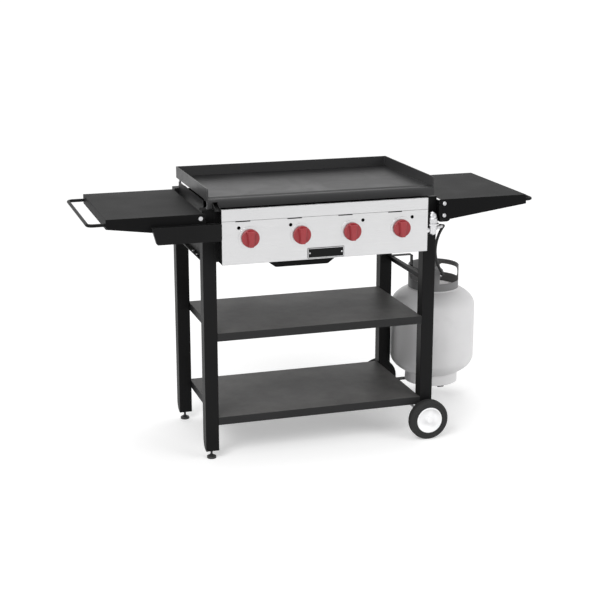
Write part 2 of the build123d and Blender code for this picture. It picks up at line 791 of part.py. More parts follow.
with BuildPart() as tank_collar:
    tank_rod(tank_high_z - tank_dome / 2, collar_top_z, collar_radius)
    tank_rod(tank_high_z - tank_dome / 2, collar_top_z, collar_radius - collar_wall, Mode.SUBTRACT)
    revolve(tank_profile(0), axis=tank_axis, mode=Mode.SUBTRACT)
    fillet(tank_collar.edges().group_by(Axis.Z)[-1], 1.2)
    for hold_yaw in (collar_hold_yaw, collar_hold_yaw + 180):
        outward = Vector(math.cos(math.radians(hold_yaw)), math.sin(math.radians(hold_yaw)), 0)
        across = outward.rotate(Axis.Z, 90)
        with BuildSketch(Plane((tank_x, tank_y, collar_hold_z), x_dir=across, z_dir=outward)):
            SlotOverall(collar_hold_length, collar_hold_height)
        extrude(amount=collar_radius + 1, mode=Mode.SUBTRACT)
    with BuildSketch(Plane((tank_x, tank_y, collar_mouth_z))):
        with BuildLine():
            mouth_edges = [
                Vector(2 * collar_radius, 0).rotate(Axis.Z, collar_mouth_yaw + turn)
                for turn in (-collar_mouth_half, collar_mouth_half)
            ]
            Polyline((0, 0), *mouth_edges, close=True)
        make_face()
    extrude(amount=collar_top_z, mode=Mode.SUBTRACT)
save(tank_collar, "tank_collar")

with BuildPart() as tank_valve:
    tank_rod(tank_high_z - 6, tank_high_z + spud_height, valve_body_radius - 3)
    tank_rod(tank_high_z + spud_height, handwheel_z - 2, valve_body_radius)
    tank_rod(handwheel_z - 2, stem_top_z, stem_radius)
    rod((tank_x, tank_y, port_z), tank_port(port_reach), port_radius)
save(tank_valve, "tank_valve")

with BuildPart() as hose_coupling:
    with BuildSketch(Plane(origin=tank_port(port_reach), z_dir=port_direction)):
        Circle(coupling_radius)
        with PolarLocations(coupling_radius + 0.5, 16):
            Circle(1.6, mode=Mode.SUBTRACT)
    extrude(amount=coupling_length)
save(hose_coupling, "hose_coupling")

with BuildPart() as tank_handwheel:
    with BuildSketch(Plane((tank_x, tank_y, handwheel_z))):
        Circle(handwheel_radius)
        with PolarLocations(handwheel_radius + 3, 6):
            Circle(6, mode=Mode.SUBTRACT)
    extrude(amount=handwheel_height)
    fillet(tank_handwheel.edges().group_by(Axis.Z)[-1], 1.2)
    tank_rod(handwheel_z, stem_top_z, stem_radius + running_gap, Mode.SUBTRACT)
save(tank_handwheel, "tank_handwheel")

# ---------------------------------------------------------------- tank carrier

with BuildPart() as tank_rail:
    rail_out_x = leg_outer_x - leg_sheet
    rail_y = (leg_sheet, rear_leg_y)
    block((rail_out_x - tank_rail_width, rail_out_x), rail_y, (tank_rail_z - strap_sheet, tank_rail_z))
    block((rail_out_x - strap_sheet, rail_out_x), rail_y, (tank_rail_z - tank_rail_drop, tank_rail_z))
save(tank_rail, "tank_rail")

with BuildPart() as tank_hanger:
    strap_y = (tank_y - tank_strap_width / 2, tank_y + tank_strap_width / 2)
    collar_bore = collar_radius - collar_wall
    hook_x = tank_x - math.sqrt(collar_bore**2 - (tank_strap_width / 2) ** 2) + fold_gap
    strap_top_z = tank_rail_z + strap_sheet
    block((rail_out_x - tank_rail_width, hook_x + strap_sheet), strap_y, (tank_rail_z, strap_top_z))
    block((hook_x, hook_x + strap_sheet), strap_y, (hanger_low_z, strap_top_z))
    outer_bend = tank_hanger.edges().filter_by(Axis.Y).group_by(Axis.Z)[-1].sort_by(Axis.X)[-1]
    fillet(outer_bend, strap_sheet * 2)
save(tank_hanger, "tank_hanger")

with BuildPart() as tank_support:
    support_span = (support_y - support_width / 2, support_y + support_width / 2)
    support_z = (tank_foot_z - support_sheet, tank_foot_z)
    block((leg_outer_x, support_reach_x), support_span, support_z)
    block((leg_outer_x, leg_outer_x + strap_sheet), support_span, (support_z[0], support_bolt_z + 14))
    cross_x = (tank_x - support_width / 2, tank_x + support_width / 2)
    block(cross_x, (tank_y - foot_ring_radius, support_y), support_z)
    bolt_start = (leg_outer_x - 1, support_y, support_bolt_z)
    rod(bolt_start, (leg_outer_x + 9, support_y, support_bolt_z), bolt_radius + bolt_gap, Mode.SUBTRACT)
save(tank_support, "tank_support")

# ---------------------------------------------------------------- side shelves


def turned(side, points):
    """Outline given for the right-hand side, brought to either side."""
    return [(side * x, z) for x, z in points]


def make_side_shelf(side, name):
    """Folding shelf: a pressed top whose lips hang on two pivot bolts."""
    low_z = side_top_z - side_lip
    front_lip = (
        (lip_inner_x, side_top_z),
        (lip_inner_x, pivot_z),
        (pivot_x - 14, pivot_z - 4),
        (lip_deep_x, lip_deep_z),
        (side_outer_x, low_z),
        (side_outer_x, side_top_z),
    )
    rear_lip = ((side_inner_x, side_top_z), (side_inner_x, low_z), (side_outer_x, low_z), (side_outer_x, side_top_z))
    x_span = (side * side_inner_x, side * side_outer_x)
    y_span = (side_front_y, side_back_y)
    with BuildPart() as shelf:
        block(x_span, y_span, (side_top_z - side_sheet, side_top_z))
        block((side * (side_outer_x - side_sheet), x_span[1]), y_span, (low_z, side_top_z))
        slab(upright_plane(0, side_front_y + side_sheet), turned(side, front_lip), side_sheet)
        slab(upright_plane(0, side_back_y), turned(side, rear_lip), side_sheet)
        ear_x = (side * (pivot_x - ear_radius), side * (pivot_x + ear_radius))
        block(ear_x, (side_back_y - side_sheet, side_back_y), (pivot_z, side_top_z))
        rod((side * pivot_x, side_back_y - side_sheet, pivot_z), (side * pivot_x, side_back_y, pivot_z), ear_radius)
        rim = shelf.edges().filter_by(lambda edge: edge.length > 200).group_by(Axis.Z)[-1]
        fillet(rim.filter_by(lambda edge: abs(edge.center().X) > side_inner_x + 1), side_sheet * 0.9)
        for lip_y in (side_front_y, side_back_y - side_sheet):
            pivot_start = (side * pivot_x, lip_y - 1, pivot_z)
            pivot_end = (side * pivot_x, lip_y + side_sheet + 1, pivot_z)
            rod(pivot_start, pivot_end, bolt_radius + running_gap, Mode.SUBTRACT)
            with BuildSketch(upright_plane(0, lip_y + side_sheet + 1)) as slot:
                with Locations((side * pivot_x, pivot_z)):
                    Circle(lock_radius + slot_width / 2)
                    Circle(lock_radius - slot_width / 2, mode=Mode.SUBTRACT)
                    with Locations((side * lock_radius, 0)):
                        Rectangle(2 * lock_radius, 4 * lock_radius, mode=Mode.SUBTRACT)
                    with Locations((0, -lock_radius)):
                        Rectangle(4 * lock_radius, 2 * lock_radius, mode=Mode.SUBTRACT)
                    with Locations((0, lock_radius)):
                        Circle(slot_width / 2)
            extrude(slot.sketch, amount=side_sheet + 2, mode=Mode.SUBTRACT)
    save(shelf, name)


def make_handle(side, tip_x, name):
    """Round bar along the outer edge of a side shelf."""
    front_y, back_y = side_front_y + handle_inset, side_back_y - handle_inset
    tip = side * (tip_x - handle_radius)
    route = (
        (side * side_outer_x, front_y, handle_z),
        (tip, front_y, handle_z),
        (tip, back_y, handle_z),
        (side * side_outer_x, back_y, handle_z),
    )
    with BuildPart() as handle:
        with BuildLine():
            FilletPolyline(*route, radius=handle_bend)
        with BuildSketch(Plane(origin=route[0], z_dir=(side, 0, 0))):
            Circle(handle_radius)
        sweep()
    save(handle, name)


make_side_shelf(-1, "side_shelf_left")
make_side_shelf(1, "side_shelf_right")
make_handle(-1, left_handle_tip_x, "handle_left")
make_handle(1, right_handle_tip_x, "handle_right")

front_plate_y = side_front_y + side_sheet + fold_gap
rear_plate_y = side_back_y + fold_gap

with BuildPart() as shelf_brackets:
    bracket_z = (bracket_bottom_z, bracket_top_z)
    bracket_tip_x = leg_outer_x + bracket_width
    for side in (-1, 1):
        foot_x_span = (side * leg_outer_x, side * (leg_outer_x + bracket_sheet))
        for plate_y in (front_plate_y, rear_plate_y):
            block((side * leg_outer_x, side * bracket_tip_x), (plate_y, plate_y + bracket_sheet), bracket_z)
        block(foot_x_span, (front_plate_y, leg_depth - bracket_inset), bracket_z)
        block(foot_x_span, (rear_plate_y, rear_leg_y + leg_depth), bracket_z)
    corners = shelf_brackets.edges().filter_by(Axis.Y)
    fillet(corners.filter_by(lambda edge: abs(edge.center().X) > bracket_tip_x - 1), bracket_width / 3)
    for side in (-1, 1):
        for plate_y in (front_plate_y, rear_plate_y):
            for bolt_z in (pivot_z, pivot_z + lock_radius):
                start = (side * pivot_x, plate_y - 1, bolt_z)
                end = (side * pivot_x, plate_y + bracket_sheet + 1, bolt_z)
                rod(start, end, bolt_radius + running_gap, Mode.SUBTRACT)
        for front_y in (0, rear_leg_y):
            for bolt_z in bracket_bolt_zs:
                start = (side * (leg_outer_x - 1), bracket_bolt_y(front_y), bolt_z)
                end = (side * (leg_outer_x + bracket_sheet + 1), start[1], bolt_z)
                rod(start, end, bolt_radius + bolt_gap, Mode.SUBTRACT)
save(shelf_brackets, "shelf_brackets")

with BuildPart() as shelf_bolts:
    for side in (-1, 1):
        x = side * pivot_x
        for bolt_z in (pivot_z, pivot_z + lock_radius):
            for head_y, nut_y in (
                (side_front_y - fold_gap, front_plate_y + bracket_sheet),
                (side_back_y - side_sheet - fold_gap, rear_plate_y + bracket_sheet),
            ):
                nut_end_y = nut_y + head_height
                rod((x, head_y - head_height, bolt_z), (x, head_y, bolt_z), head_radius)
                rod((x, head_y, bolt_z), (x, nut_end_y, bolt_z), bolt_radius)
                rod((x, nut_y, bolt_z), (x, nut_end_y, bolt_z), small_head_radius)
save(shelf_bolts, "shelf_bolts")

with BuildPart() as frame_screws:
    for side in (-1, 1):
        for y in box_bolt_ys:
            top_z = box_bottom_z + box_sheet
            with BuildSketch(Plane((side * box_bolt_x, y, top_z))):
                RegularPolygon(small_head_radius, 6)
            extrude(amount=small_head_height)
            rod((side * box_bolt_x, y, top_z), (side * box_bolt_x, y, top_z - screw_length), bolt_radius)
        for front_y in (0, rear_leg_y):
            for top_z in (middle_shelf_z, lower_shelf_z):
                y, z = front_y + screw_depth, top_z - shelf_lip / 2
                inner_x = side * (leg_inner_x - shelf_sheet)
                rod((inner_x - side * small_head_height, y, z), (inner_x, y, z), small_head_radius)
                rod((inner_x, y, z), (inner_x + side * screw_length, y, z), bolt_radius)
            for bolt_z in bracket_bolt_zs:
                seat_x = side * (leg_outer_x + bracket_sheet)
                y = bracket_bolt_y(front_y)
                rod((seat_x, y, bolt_z), (seat_x + side * small_head_height, y, bolt_z), small_head_radius)
                rod((seat_x, y, bolt_z), (seat_x - side * screw_length, y, bolt_z), bolt_radius)
    seat_x = leg_outer_x + strap_sheet
    rod((seat_x, support_y, support_bolt_z), (seat_x + head_height, support_y, support_bolt_z), head_radius)
    rod((seat_x - screw_length, support_y, support_bolt_z), (seat_x, support_y, support_bolt_z), bolt_radius)
save(frame_screws, "frame_screws")

# ---------------------------------------------------------------- grease tray and drip pan

with BuildPart() as grease_tray:
    tray_outline = (
        (tray_left_x, tray_rim_z),
        (tray_left_foot_x, tray_bottom_z),
        (tray_right_x, tray_bottom_z),
        (tray_right_x, tray_rim_z),
    )
    slab(upright_plane(0, tray_back_y), tray_outline, tray_depth)
    fillet(grease_tray.edges().filter_by(Axis.Y).group_by(Axis.Z)[0], 6)
    offset(amount=-tray_sheet, openings=grease_tray.faces().sort_by(Axis.Z)[-1])
    hook_x = (-leg_mid_x - hook_width / 2, -leg_mid_x + hook_width / 2)
    hook_back_y = tray_back_y + hanger_sheet + 2 * hook_gap + tray_sheet
    block(hook_x, (tray_back_y - tray_sheet, hook_back_y), (tray_rim_z - tray_sheet, tray_rim_z))
    block(hook_x, (hook_back_y - tray_sheet, hook_back_y), (tray_rim_z - hook_drop, tray_rim_z))
save(grease_tray, "grease_tray")

with BuildPart() as grease_tray_hanger:
    upright_y = (tray_back_y + hook_gap, tray_back_y + hook_gap + hanger_sheet)
    hanger_x = (hook_x[0] + 1, hook_x[1] - 1)
    block(hanger_x, upright_y, (hanger_foot_z, tray_rim_z - tray_sheet - hook_gap))
    block(hanger_x, (upright_y[0], 0), (hanger_foot_z, hanger_foot_z + hanger_sheet))
    block(hanger_x, (-hanger_sheet, 0), (hanger_foot_z, tray_rim_z - hook_drop))
save(grease_tray_hanger, "grease_tray_hanger")

with BuildPart() as drip_pan:
    pan_height = pan_rim_z - pan_bottom_z
    pan_rim_half = pan_bottom_half + pan_height * pan_side_slope
    wall_run = pan_sheet * math.hypot(1, pan_side_slope)
    pan_hollow_half = pan_rim_half - wall_run
    with BuildSketch(Plane((0, pan_middle_y, pan_bottom_z))):
        RectangleRounded(2 * pan_bottom_half, pan_length, pan_corner)
    with BuildSketch(Plane((0, pan_middle_y, pan_rim_z))):
        RectangleRounded(2 * pan_rim_half, pan_length, pan_corner)
    loft()
    hollow_size = (pan_length - 2 * pan_sheet, pan_corner - pan_sheet)
    hollow_low_half = pan_bottom_half + pan_sheet * pan_side_slope - wall_run
    with BuildSketch(Plane((0, pan_middle_y, pan_bottom_z + pan_sheet))):
        RectangleRounded(2 * hollow_low_half, *hollow_size)
    with BuildSketch(Plane((0, pan_middle_y, pan_rim_z))):
        RectangleRounded(2 * pan_hollow_half, *hollow_size)
    loft(mode=Mode.SUBTRACT)
    rim_half = pan_rim_half + pan_rim
    with BuildSketch(Plane((0, pan_middle_y, pan_rim_z))):
        Rectangle(2 * rim_half, pan_length)
        RectangleRounded(2 * pan_hollow_half, *hollow_size, mode=Mode.SUBTRACT)
    extrude(amount=pan_sheet)
save(drip_pan, "drip_pan")

with BuildPart() as drip_pan_rails:
    for side in (-1, 1):
        rail_y = (rail_front_y, rear_leg_y)
        rail_x = side * (rim_half + rail_gap)
        rail_low_z = pan_rim_z - rail_gap - rail_sheet
        hold_x = (rail_x - side * (pan_rim - 2), rail_x + side * rail_sheet)
        block((rail_x, rail_x + side * rail_sheet), rail_y, (rail_low_z, floor_z[0]))
        block(hold_x, rail_y, (rail_low_z, rail_low_z + rail_sheet))
        block((rail_x, rail_x + side * pan_rim), rail_y, (floor_z[0] - rail_sheet, floor_z[0]))
save(drip_pan_rails, "drip_pan_rails")

# ---------------------------------------------------------------- wheels and feet

front_hub = (front_wheel_y - wheel_width / 2, front_wheel_y + wheel_width / 2)
rear_hub = (rear_wheel_y - wheel_width / 2, rear_wheel_y + wheel_width / 2)
axle_y = (front_hub[0] - side_play - nut_height, rear_hub[1] + side_play + nut_height)


def make_wheel(hub_span, outward, number):
    """Grooved tyre on a dished plastic hub that runs on the axle."""
    middle_y = sum(hub_span) / 2
    with BuildPart() as tyre:
        rod((axle_x, hub_span[0], axle_z), (axle_x, hub_span[1], axle_z), wheel_radius)
        shoulders = tyre.edges().filter_by(GeomType.CIRCLE)
        fillet(shoulders, wheel_width * 0.2)
        rod((axle_x, hub_span[0], axle_z), (axle_x, hub_span[1], axle_z), hub_radius, Mode.SUBTRACT)
        with BuildSketch(upright_plane(0, middle_y + groove_width / 2)) as grooves:
            with Locations((axle_x, axle_z)):
                Circle(wheel_radius + 1)
                Circle(wheel_radius - groove_depth, mode=Mode.SUBTRACT)
        extrude(grooves.sketch, amount=groove_width, mode=Mode.SUBTRACT)
    save(tyre, f"wheel_tyre_{number}")
    with BuildPart() as hub:
        rod((axle_x, hub_span[0], axle_z), (axle_x, hub_span[1], axle_z), hub_radius)
        dish_y = middle_y + outward * hub_web / 2
        rim_y = hub_span[1] if outward > 0 else hub_span[0]
        rod((axle_x, dish_y, axle_z), (axle_x, rim_y, axle_z), hub_radius - 5, Mode.SUBTRACT)
        back_y = hub_span[0] if outward > 0 else hub_span[1]
        rod((axle_x, dish_y - outward * hub_web, axle_z), (axle_x, back_y, axle_z), hub_radius - 5, Mode.SUBTRACT)
        rod((axle_x, hub_span[0], axle_z), (axle_x, hub_span[1], axle_z), hub_boss)
        bore_radius = axle_radius + hub_bore_gap
        rod((axle_x, hub_span[0], axle_z), (axle_x, hub_span[1], axle_z), bore_radius, Mode.SUBTRACT)
    save(hub, f"wheel_hub_{number}")


make_wheel(front_hub, -1, 1)
make_wheel(rear_hub, 1, 2)

with BuildPart() as axle:
    rod((axle_x, axle_y[0], axle_z), (axle_x, axle_y[1], axle_z), axle_radius)
save(axle, "axle")

with BuildPart() as axle_fittings:
    front_spacer = ((axle_x, front_hub[1] + side_play, axle_z), (axle_x, 0, axle_z))
    rear_spacer = ((axle_x, rear_leg_y + leg_sheet, axle_z), (axle_x, rear_hub[0] - side_play, axle_z))
    for spacer in (front_spacer, rear_spacer):
        rod(*spacer, hub_boss - 1)
        rod(*spacer, axle_radius, Mode.SUBTRACT)
    for nut_y in (axle_y[0], axle_y[1] - nut_height):
        with BuildSketch(upright_plane(0, nut_y + nut_height)) as nut:
            with Locations((axle_x, axle_z)):
                RegularPolygon(nut_radius, 6)
                Circle(axle_radius, mode=Mode.SUBTRACT)
        extrude(nut.sketch, amount=nut_height)
save(axle_fittings, "axle_fittings")


def make_foot(front_y, name):
    """Levelling foot: a round pad on a threaded stem."""
    y = front_y + leg_mid_depth
    with BuildPart() as foot:
        rod((foot_x, y, 0), (foot_x, y, foot_height), foot_radius)
        fillet(foot.edges().filter_by(GeomType.CIRCLE).group_by(Axis.Z)[-1], 2.5)
        rod((foot_x, y, foot_height), (foot_x, y, foot_stem_top_z), foot_stem_radius)
        with BuildSketch(Plane((foot_x, y, foot_height))):
            RegularPolygon(nut_radius - 1, 6)
        extrude(amount=nut_height)
    save(foot, name)


make_foot(0, "foot_front")
make_foot(rear_leg_y, "foot_rear")
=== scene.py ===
import math

import bmesh
import bpy
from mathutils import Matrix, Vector


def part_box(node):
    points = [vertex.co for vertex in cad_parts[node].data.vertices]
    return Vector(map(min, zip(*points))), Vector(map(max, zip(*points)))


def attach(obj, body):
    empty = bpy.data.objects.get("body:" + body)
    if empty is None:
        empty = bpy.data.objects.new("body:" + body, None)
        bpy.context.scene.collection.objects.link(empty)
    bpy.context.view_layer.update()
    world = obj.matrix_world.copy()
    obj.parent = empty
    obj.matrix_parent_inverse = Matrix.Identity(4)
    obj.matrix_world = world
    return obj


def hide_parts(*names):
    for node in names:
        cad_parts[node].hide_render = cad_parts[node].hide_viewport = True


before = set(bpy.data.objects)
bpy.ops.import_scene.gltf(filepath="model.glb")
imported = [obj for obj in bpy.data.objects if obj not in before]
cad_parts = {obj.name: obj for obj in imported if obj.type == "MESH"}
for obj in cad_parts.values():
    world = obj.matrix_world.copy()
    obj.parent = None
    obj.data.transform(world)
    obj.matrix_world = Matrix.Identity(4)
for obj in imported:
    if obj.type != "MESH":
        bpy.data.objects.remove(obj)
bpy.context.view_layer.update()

bl_info = {
    "name": "Flat top griddle cart",
    "version": (1, 0, 0),
    "blender": (4, 5, 0),
    "location": "View3D > Sidebar > Griddle cart",
    "description": "Dresses the flat top griddle cart: knobs, wheels, tank, hose, finishes and stage",
    "category": "Object",
}

# ------------------------------------------------------------------ sizes and colours


def colour_property(name, description, default):
    """A linear RGB colour that can be picked in the sidebar."""
    return bpy.props.FloatVectorProperty(
        name=name, description=description, default=default, subtype="COLOR", size=3, min=0, max=1
    )


def length_property(name, description, default):
    """A length in metres."""
    return bpy.props.FloatProperty(
        name=name, description=description, default=default, unit="LENGTH", min=0
    )


class GriddleFinishes(bpy.types.PropertyGroup):
    """Colours of the cart's finishes."""

    frame_coat: colour_property(
        "Frame coat", "Powder coat on legs, tray and handles", (0.0065, 0.0065, 0.0067)
    )
    shelf_coat: colour_property(
        "Shelf coat", "Powder coat on the two open shelves", (0.014, 0.014, 0.0144)
    )
    side_coat: colour_property(
        "Side shelf coat", "Powder coat on the folding shelves", (0.0045, 0.0045, 0.0047)
    )
    cooking_steel: colour_property(
        "Cooking steel", "Seasoned steel of the cooking plate", (0.046, 0.046, 0.047)
    )
    stainless: colour_property("Stainless", "Brushed steel of the control panel", (0.575, 0.575, 0.58))
    knob_red: colour_property("Knob red", "Moulded plastic of the knobs", (0.275, 0.024, 0.030))
    tank_paint: colour_property("Tank paint", "Light paint on the gas tank", (0.70, 0.695, 0.70))
    collar_paint: colour_property(
        "Collar paint", "Darker paint on the tank's collar", (0.17, 0.17, 0.172)
    )
    wheel_white: colour_property("Wheel disc", "Moulded plastic of the wheel discs", (0.90, 0.90, 0.905))
    rubber: colour_property("Rubber", "Tyres", (0.010, 0.010, 0.0105))


class GriddleSizes(bpy.types.PropertyGroup):
    """Sizes of the detailed pieces."""

    knob_rim: length_property("Knob skirt", "Height of the round skirt under the grip", 0.0075)
    hose_diameter: length_property("Hose diameter", "Outer diameter of the gas hose", 0.010)
    ferrule_length: length_property("Ferrule length", "Length of each crimped sleeve on the hose", 0.024)
    weld_bead: length_property("Weld bead", "Radius of the weld beads on tank and plate", 0.0022)


# ------------------------------------------------------------------ modelling helpers


def deselect():
    """Leave edit mode and deselect everything."""
    if bpy.context.object and bpy.context.object.mode == "EDIT":
        bpy.ops.object.mode_set(mode="OBJECT")
    bpy.ops.object.select_all(action="DESELECT")


def start_edit(piece):
    """Edit one piece, with nothing of it selected."""
    deselect()
    piece.select_set(True)
    bpy.context.view_layer.objects.active = piece
    bpy.ops.object.mode_set(mode="EDIT")
    bpy.ops.mesh.select_all(action="DESELECT")


def choose_faces(piece, test):
    """Select the faces whose middle and normal pass a test."""
    bpy.ops.mesh.select_mode(type="FACE")
    mesh = bmesh.from_edit_mesh(piece.data)
    place = piece.matrix_world
    for face in mesh.faces:
        face.select_set(bool(test(place @ face.calc_center_median(), place.to_3x3() @ face.normal)))
    mesh.select_flush_mode()
    bmesh.update_edit_mesh(piece.data)


def choose_edges(piece, test):
    """Select the edges whose two ends pass a test."""
    bpy.ops.mesh.select_mode(type="EDGE")
    mesh = bmesh.from_edit_mesh(piece.data)
    place = piece.matrix_world
    for edge in mesh.edges:
        edge.select_set(bool(test(place @ edge.verts[0].co, place @ edge.verts[1].co)))
    bmesh.update_edit_mesh(piece.data)


def finish_piece(piece, name, material, body, smooth=35.0):
    """Name a piece, put its place in its mesh, shade it, dress it and let it ride on a body."""
    deselect()
    piece.select_set(True)
    bpy.context.view_layer.objects.active = piece
    bpy.ops.object.transform_apply(location=True, rotation=True, scale=True)
    bpy.ops.object.mode_set(mode="EDIT")
    bpy.ops.mesh.select_all(action="SELECT")
    bpy.ops.mesh.remove_doubles(threshold=0.00001)
    bpy.ops.mesh.normals_make_consistent(inside=False)
    bpy.ops.object.mode_set(mode="OBJECT")
    bpy.ops.object.shade_smooth_by_angle(angle=math.radians(smooth))
    piece.name = name
    piece.data.name = name
    piece.data.materials.clear()
    piece.data.materials.append(bpy.data.materials[material])
    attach(piece, body)
    deselect()
    return piece


def new_cylinder(centre, radius, depth, sides_with_painted_shade, turn=(0, 0, 0)):
    """A cylinder to start a piece from."""
    deselect()
    bpy.ops.mesh.primitive_cylinder_add(
        vertices=sides_with_painted_shade, radius=radius, depth=depth, location=centre, rotation=turn
    )
    return bpy.context.object


def new_block(low, high):
    """A block between two corners to start a piece from."""
    deselect()
    middle = (Vector(low) + Vector(high)) / 2
    bpy.ops.mesh.primitive_cube_add(size=1, location=middle, scale=Vector(high) - Vector(low))
    block = bpy.context.object
    bpy.ops.object.transform_apply(location=True, rotation=True, scale=True)
    return block


def bevel_all(piece, width, segments, limit=30.0):
    """Round a piece's edges with a modifier and apply it."""
    deselect()
    piece.select_set(True)
    bpy.context.view_layer.objects.active = piece
    modifier = piece.modifiers.new("rounding", "BEVEL")
    modifier.width = width
    modifier.segments = segments
    modifier.limit_method = "ANGLE"
    modifier.angle_limit = math.radians(limit)
    bpy.ops.object.modifier_apply(modifier=modifier.name)


def join_into(first, others):
    """Join pieces into the first one."""
    deselect()
    for piece in [first, *others]:
        piece.select_set(True)
    bpy.context.view_layer.objects.active = first
    bpy.ops.object.join()
    return first


def lathe(points, centre, axis, steps=96):
    """Turn an outline of (along the axis, out from it) about an axis through a centre."""
    axis = Vector(axis).normalized()
    outward = axis.orthogonal().normalized()
    centre = Vector(centre)
    path = [centre + axis * along + outward * out for along, out in points]
    deselect()
    bpy.ops.mesh.primitive_plane_add(size=0.001, location=path[0])
    piece = bpy.context.object
    bpy.ops.object.transform_apply(location=True, rotation=True, scale=True)
    bpy.ops.object.mode_set(mode="EDIT")
    bpy.ops.mesh.select_mode(type="VERT")
    bpy.ops.mesh.select_all(action="SELECT")
    bpy.ops.mesh.merge(type="CENTER")
    for here, there in zip(path, path[1:]):
        bpy.ops.mesh.extrude_vertices_move(TRANSFORM_OT_translate={"value": there - here})
    bpy.ops.mesh.select_all(action="SELECT")
    bpy.ops.mesh.spin(steps=steps, angle=math.tau, center=centre, axis=axis)
    bpy.ops.mesh.select_all(action="SELECT")
    bpy.ops.mesh.remove_doubles(threshold=0.000005)
    bpy.ops.mesh.normals_make_consistent(inside=False)
    bpy.ops.object.mode_set(mode="OBJECT")
    return piece


# ------------------------------------------------------------------ finishes


def add_node(tree, kind, inputs=None, **settings):
    """Add a shader node, set its options, and link or set its inputs."""
    made = tree.nodes.new("ShaderNode" + kind)
    for name, value in settings.items():
        setattr(made, name, value)
    for socket, source in (inputs or {}).items():
        if isinstance(source, bpy.types.NodeSocket):
            tree.links.new(source, made.inputs[socket])
        else:
            made.inputs[socket].default_value = source
    return made


def start_group(name, inputs, outputs):
    """A new node group with named sockets, and its input and output nodes."""
    group = bpy.data.node_groups.new(name, "ShaderNodeTree")
    for socket, kind, default in inputs:
        made = group.interface.new_socket(socket, in_out="INPUT", socket_type=kind)
        if default is not None:
            made.default_value = default
    for socket in outputs:
        group.interface.new_socket(socket, in_out="OUTPUT", socket_type="NodeSocketFloat")
    return group, group.nodes.new("NodeGroupInput").outputs, group.nodes.new("NodeGroupOutput").inputs


def remap(tree, value, low, high, to_low=0.0, to_high=1.0):
    """Spread a range of a value over another range."""
    inputs = {"Value": value, "From Min": low, "From Max": high, "To Min": to_low, "To Max": to_high}
    return add_node(tree, "MapRange", inputs).outputs[0]


def maths(tree, operation, first, second=0.0, clamp=False):
    """One step of arithmetic on values."""
    return add_node(tree, "Math", {0: first, 1: second}, operation=operation, use_clamp=clamp).outputs[0]


VECTOR_IN = ("Vector", "NodeSocketVector", None)


def build_effect_groups():
    """The effects that several finishes share."""
    group, given, result = start_group(
        "surface_grain",
        [VECTOR_IN, ("Grain Scale", "NodeSocketFloat", 900.0), ("Patch Scale", "NodeSocketFloat", 5.0)],
        ["Height", "Tone"],
    )
    place = given["Vector"]
    fine = add_node(group, "TexNoise", {"Vector": place, "Scale": given["Grain Scale"], "Detail": 2.0})
    broad = add_node(group, "TexNoise", {"Vector": place, "Scale": given["Patch Scale"], "Detail": 4.0})
    group.links.new(fine.outputs["Fac"], result["Height"])
    group.links.new(remap(group, broad.outputs["Fac"], 0.32, 0.68), result["Tone"])

    group, given, result = start_group(
        "edge_wear",
        [VECTOR_IN, ("Radius", "NodeSocketFloat", 0.0015), ("Amount", "NodeSocketFloat", 1.0)],
        ["Mask"],
    )
    rounded = add_node(group, "Bevel", {"Radius": given["Radius"]}, samples=4)
    flat = add_node(group, "NewGeometry")
    normals = {0: rounded.outputs[0], 1: flat.outputs["Normal"]}
    dot = add_node(group, "VectorMath", normals, operation="DOT_PRODUCT")
    edge = remap(group, dot.outputs["Value"], 0.99, 0.80)
    chips = add_node(group, "TexNoise", {"Vector": given["Vector"], "Scale": 130.0, "Detail": 4.0})
    worn = maths(group, "MULTIPLY", edge, remap(group, chips.outputs["Fac"], 0.40, 0.66))
    group.links.new(maths(group, "MULTIPLY", worn, given["Amount"], True), result["Mask"])

    # Settled dust on upward faces. Where a finish turns its amount up high, the same mask also paints light
    # onto the tops as a painted highlight.
    group, given, result = start_group(
        "dust_and_painted_top_light",
        [VECTOR_IN, ("Amount", "NodeSocketFloat", 0.3)],
        ["Mask"],
    )
    normal = add_node(group, "SeparateXYZ", {0: add_node(group, "NewGeometry").outputs["Normal"]})
    upward = remap(group, normal.outputs["Z"], 0.5, 1.0)
    drift = {"Vector": given["Vector"], "Scale": 9.0, "Detail": 6.0, "Roughness": 0.65}
    clouds = add_node(group, "TexNoise", drift)
    dust_and_light_on_tops = maths(group, "MULTIPLY", upward, remap(group, clouds.outputs["Fac"], 0.0, 0.85))
    group.links.new(maths(group, "MULTIPLY", dust_and_light_on_tops, given["Amount"], True), result["Mask"])

    group, given, result = start_group(
        "brushed_lines",
        [VECTOR_IN, ("Stretch", "NodeSocketVector", (6.0, 900.0, 900.0))],
        ["Height", "Tone"],
    )
    factors = {0: given["Vector"], 1: given["Stretch"]}
    stretched = add_node(group, "VectorMath", factors, operation="MULTIPLY")
    lines = add_node(group, "TexNoise", {"Vector": stretched.outputs[0], "Scale": 1.0, "Detail": 3.0})
    group.links.new(lines.outputs["Fac"], result["Height"])
    group.links.new(remap(group, lines.outputs["Fac"], 0.30, 0.70), result["Tone"])

    group, given, result = start_group(
        "grease_marks",
        [VECTOR_IN, ("Scale", "NodeSocketFloat", 7.0), ("Spread", "NodeSocketFloat", 0.5)],
        ["Mask"],
    )
    wander = {"Vector": given["Vector"], "Scale": given["Scale"], "Detail": 7.0, "Distortion": 1.2}
    film = add_node(group, "TexNoise", wander)
    high = maths(group, "ADD", given["Spread"], 0.12)
    low = maths(group, "SUBTRACT", given["Spread"], 0.12)
    group.links.new(remap(group, film.outputs["Fac"], low, high), result["Mask"])


def start_finish(name, roughness, **constants):
    """A material with its shader, and object coordinates for its patterns."""
    material = bpy.data.materials.new(name)
    material.use_nodes = True
    tree = material.node_tree
    shader = tree.nodes["Principled BSDF"]
    shader.inputs["Roughness"].default_value = roughness
    for socket, value in constants.items():
        shader.inputs[socket.replace("_", " ")].default_value = value
    return tree, shader, add_node(tree, "TexCoord").outputs["Object"]


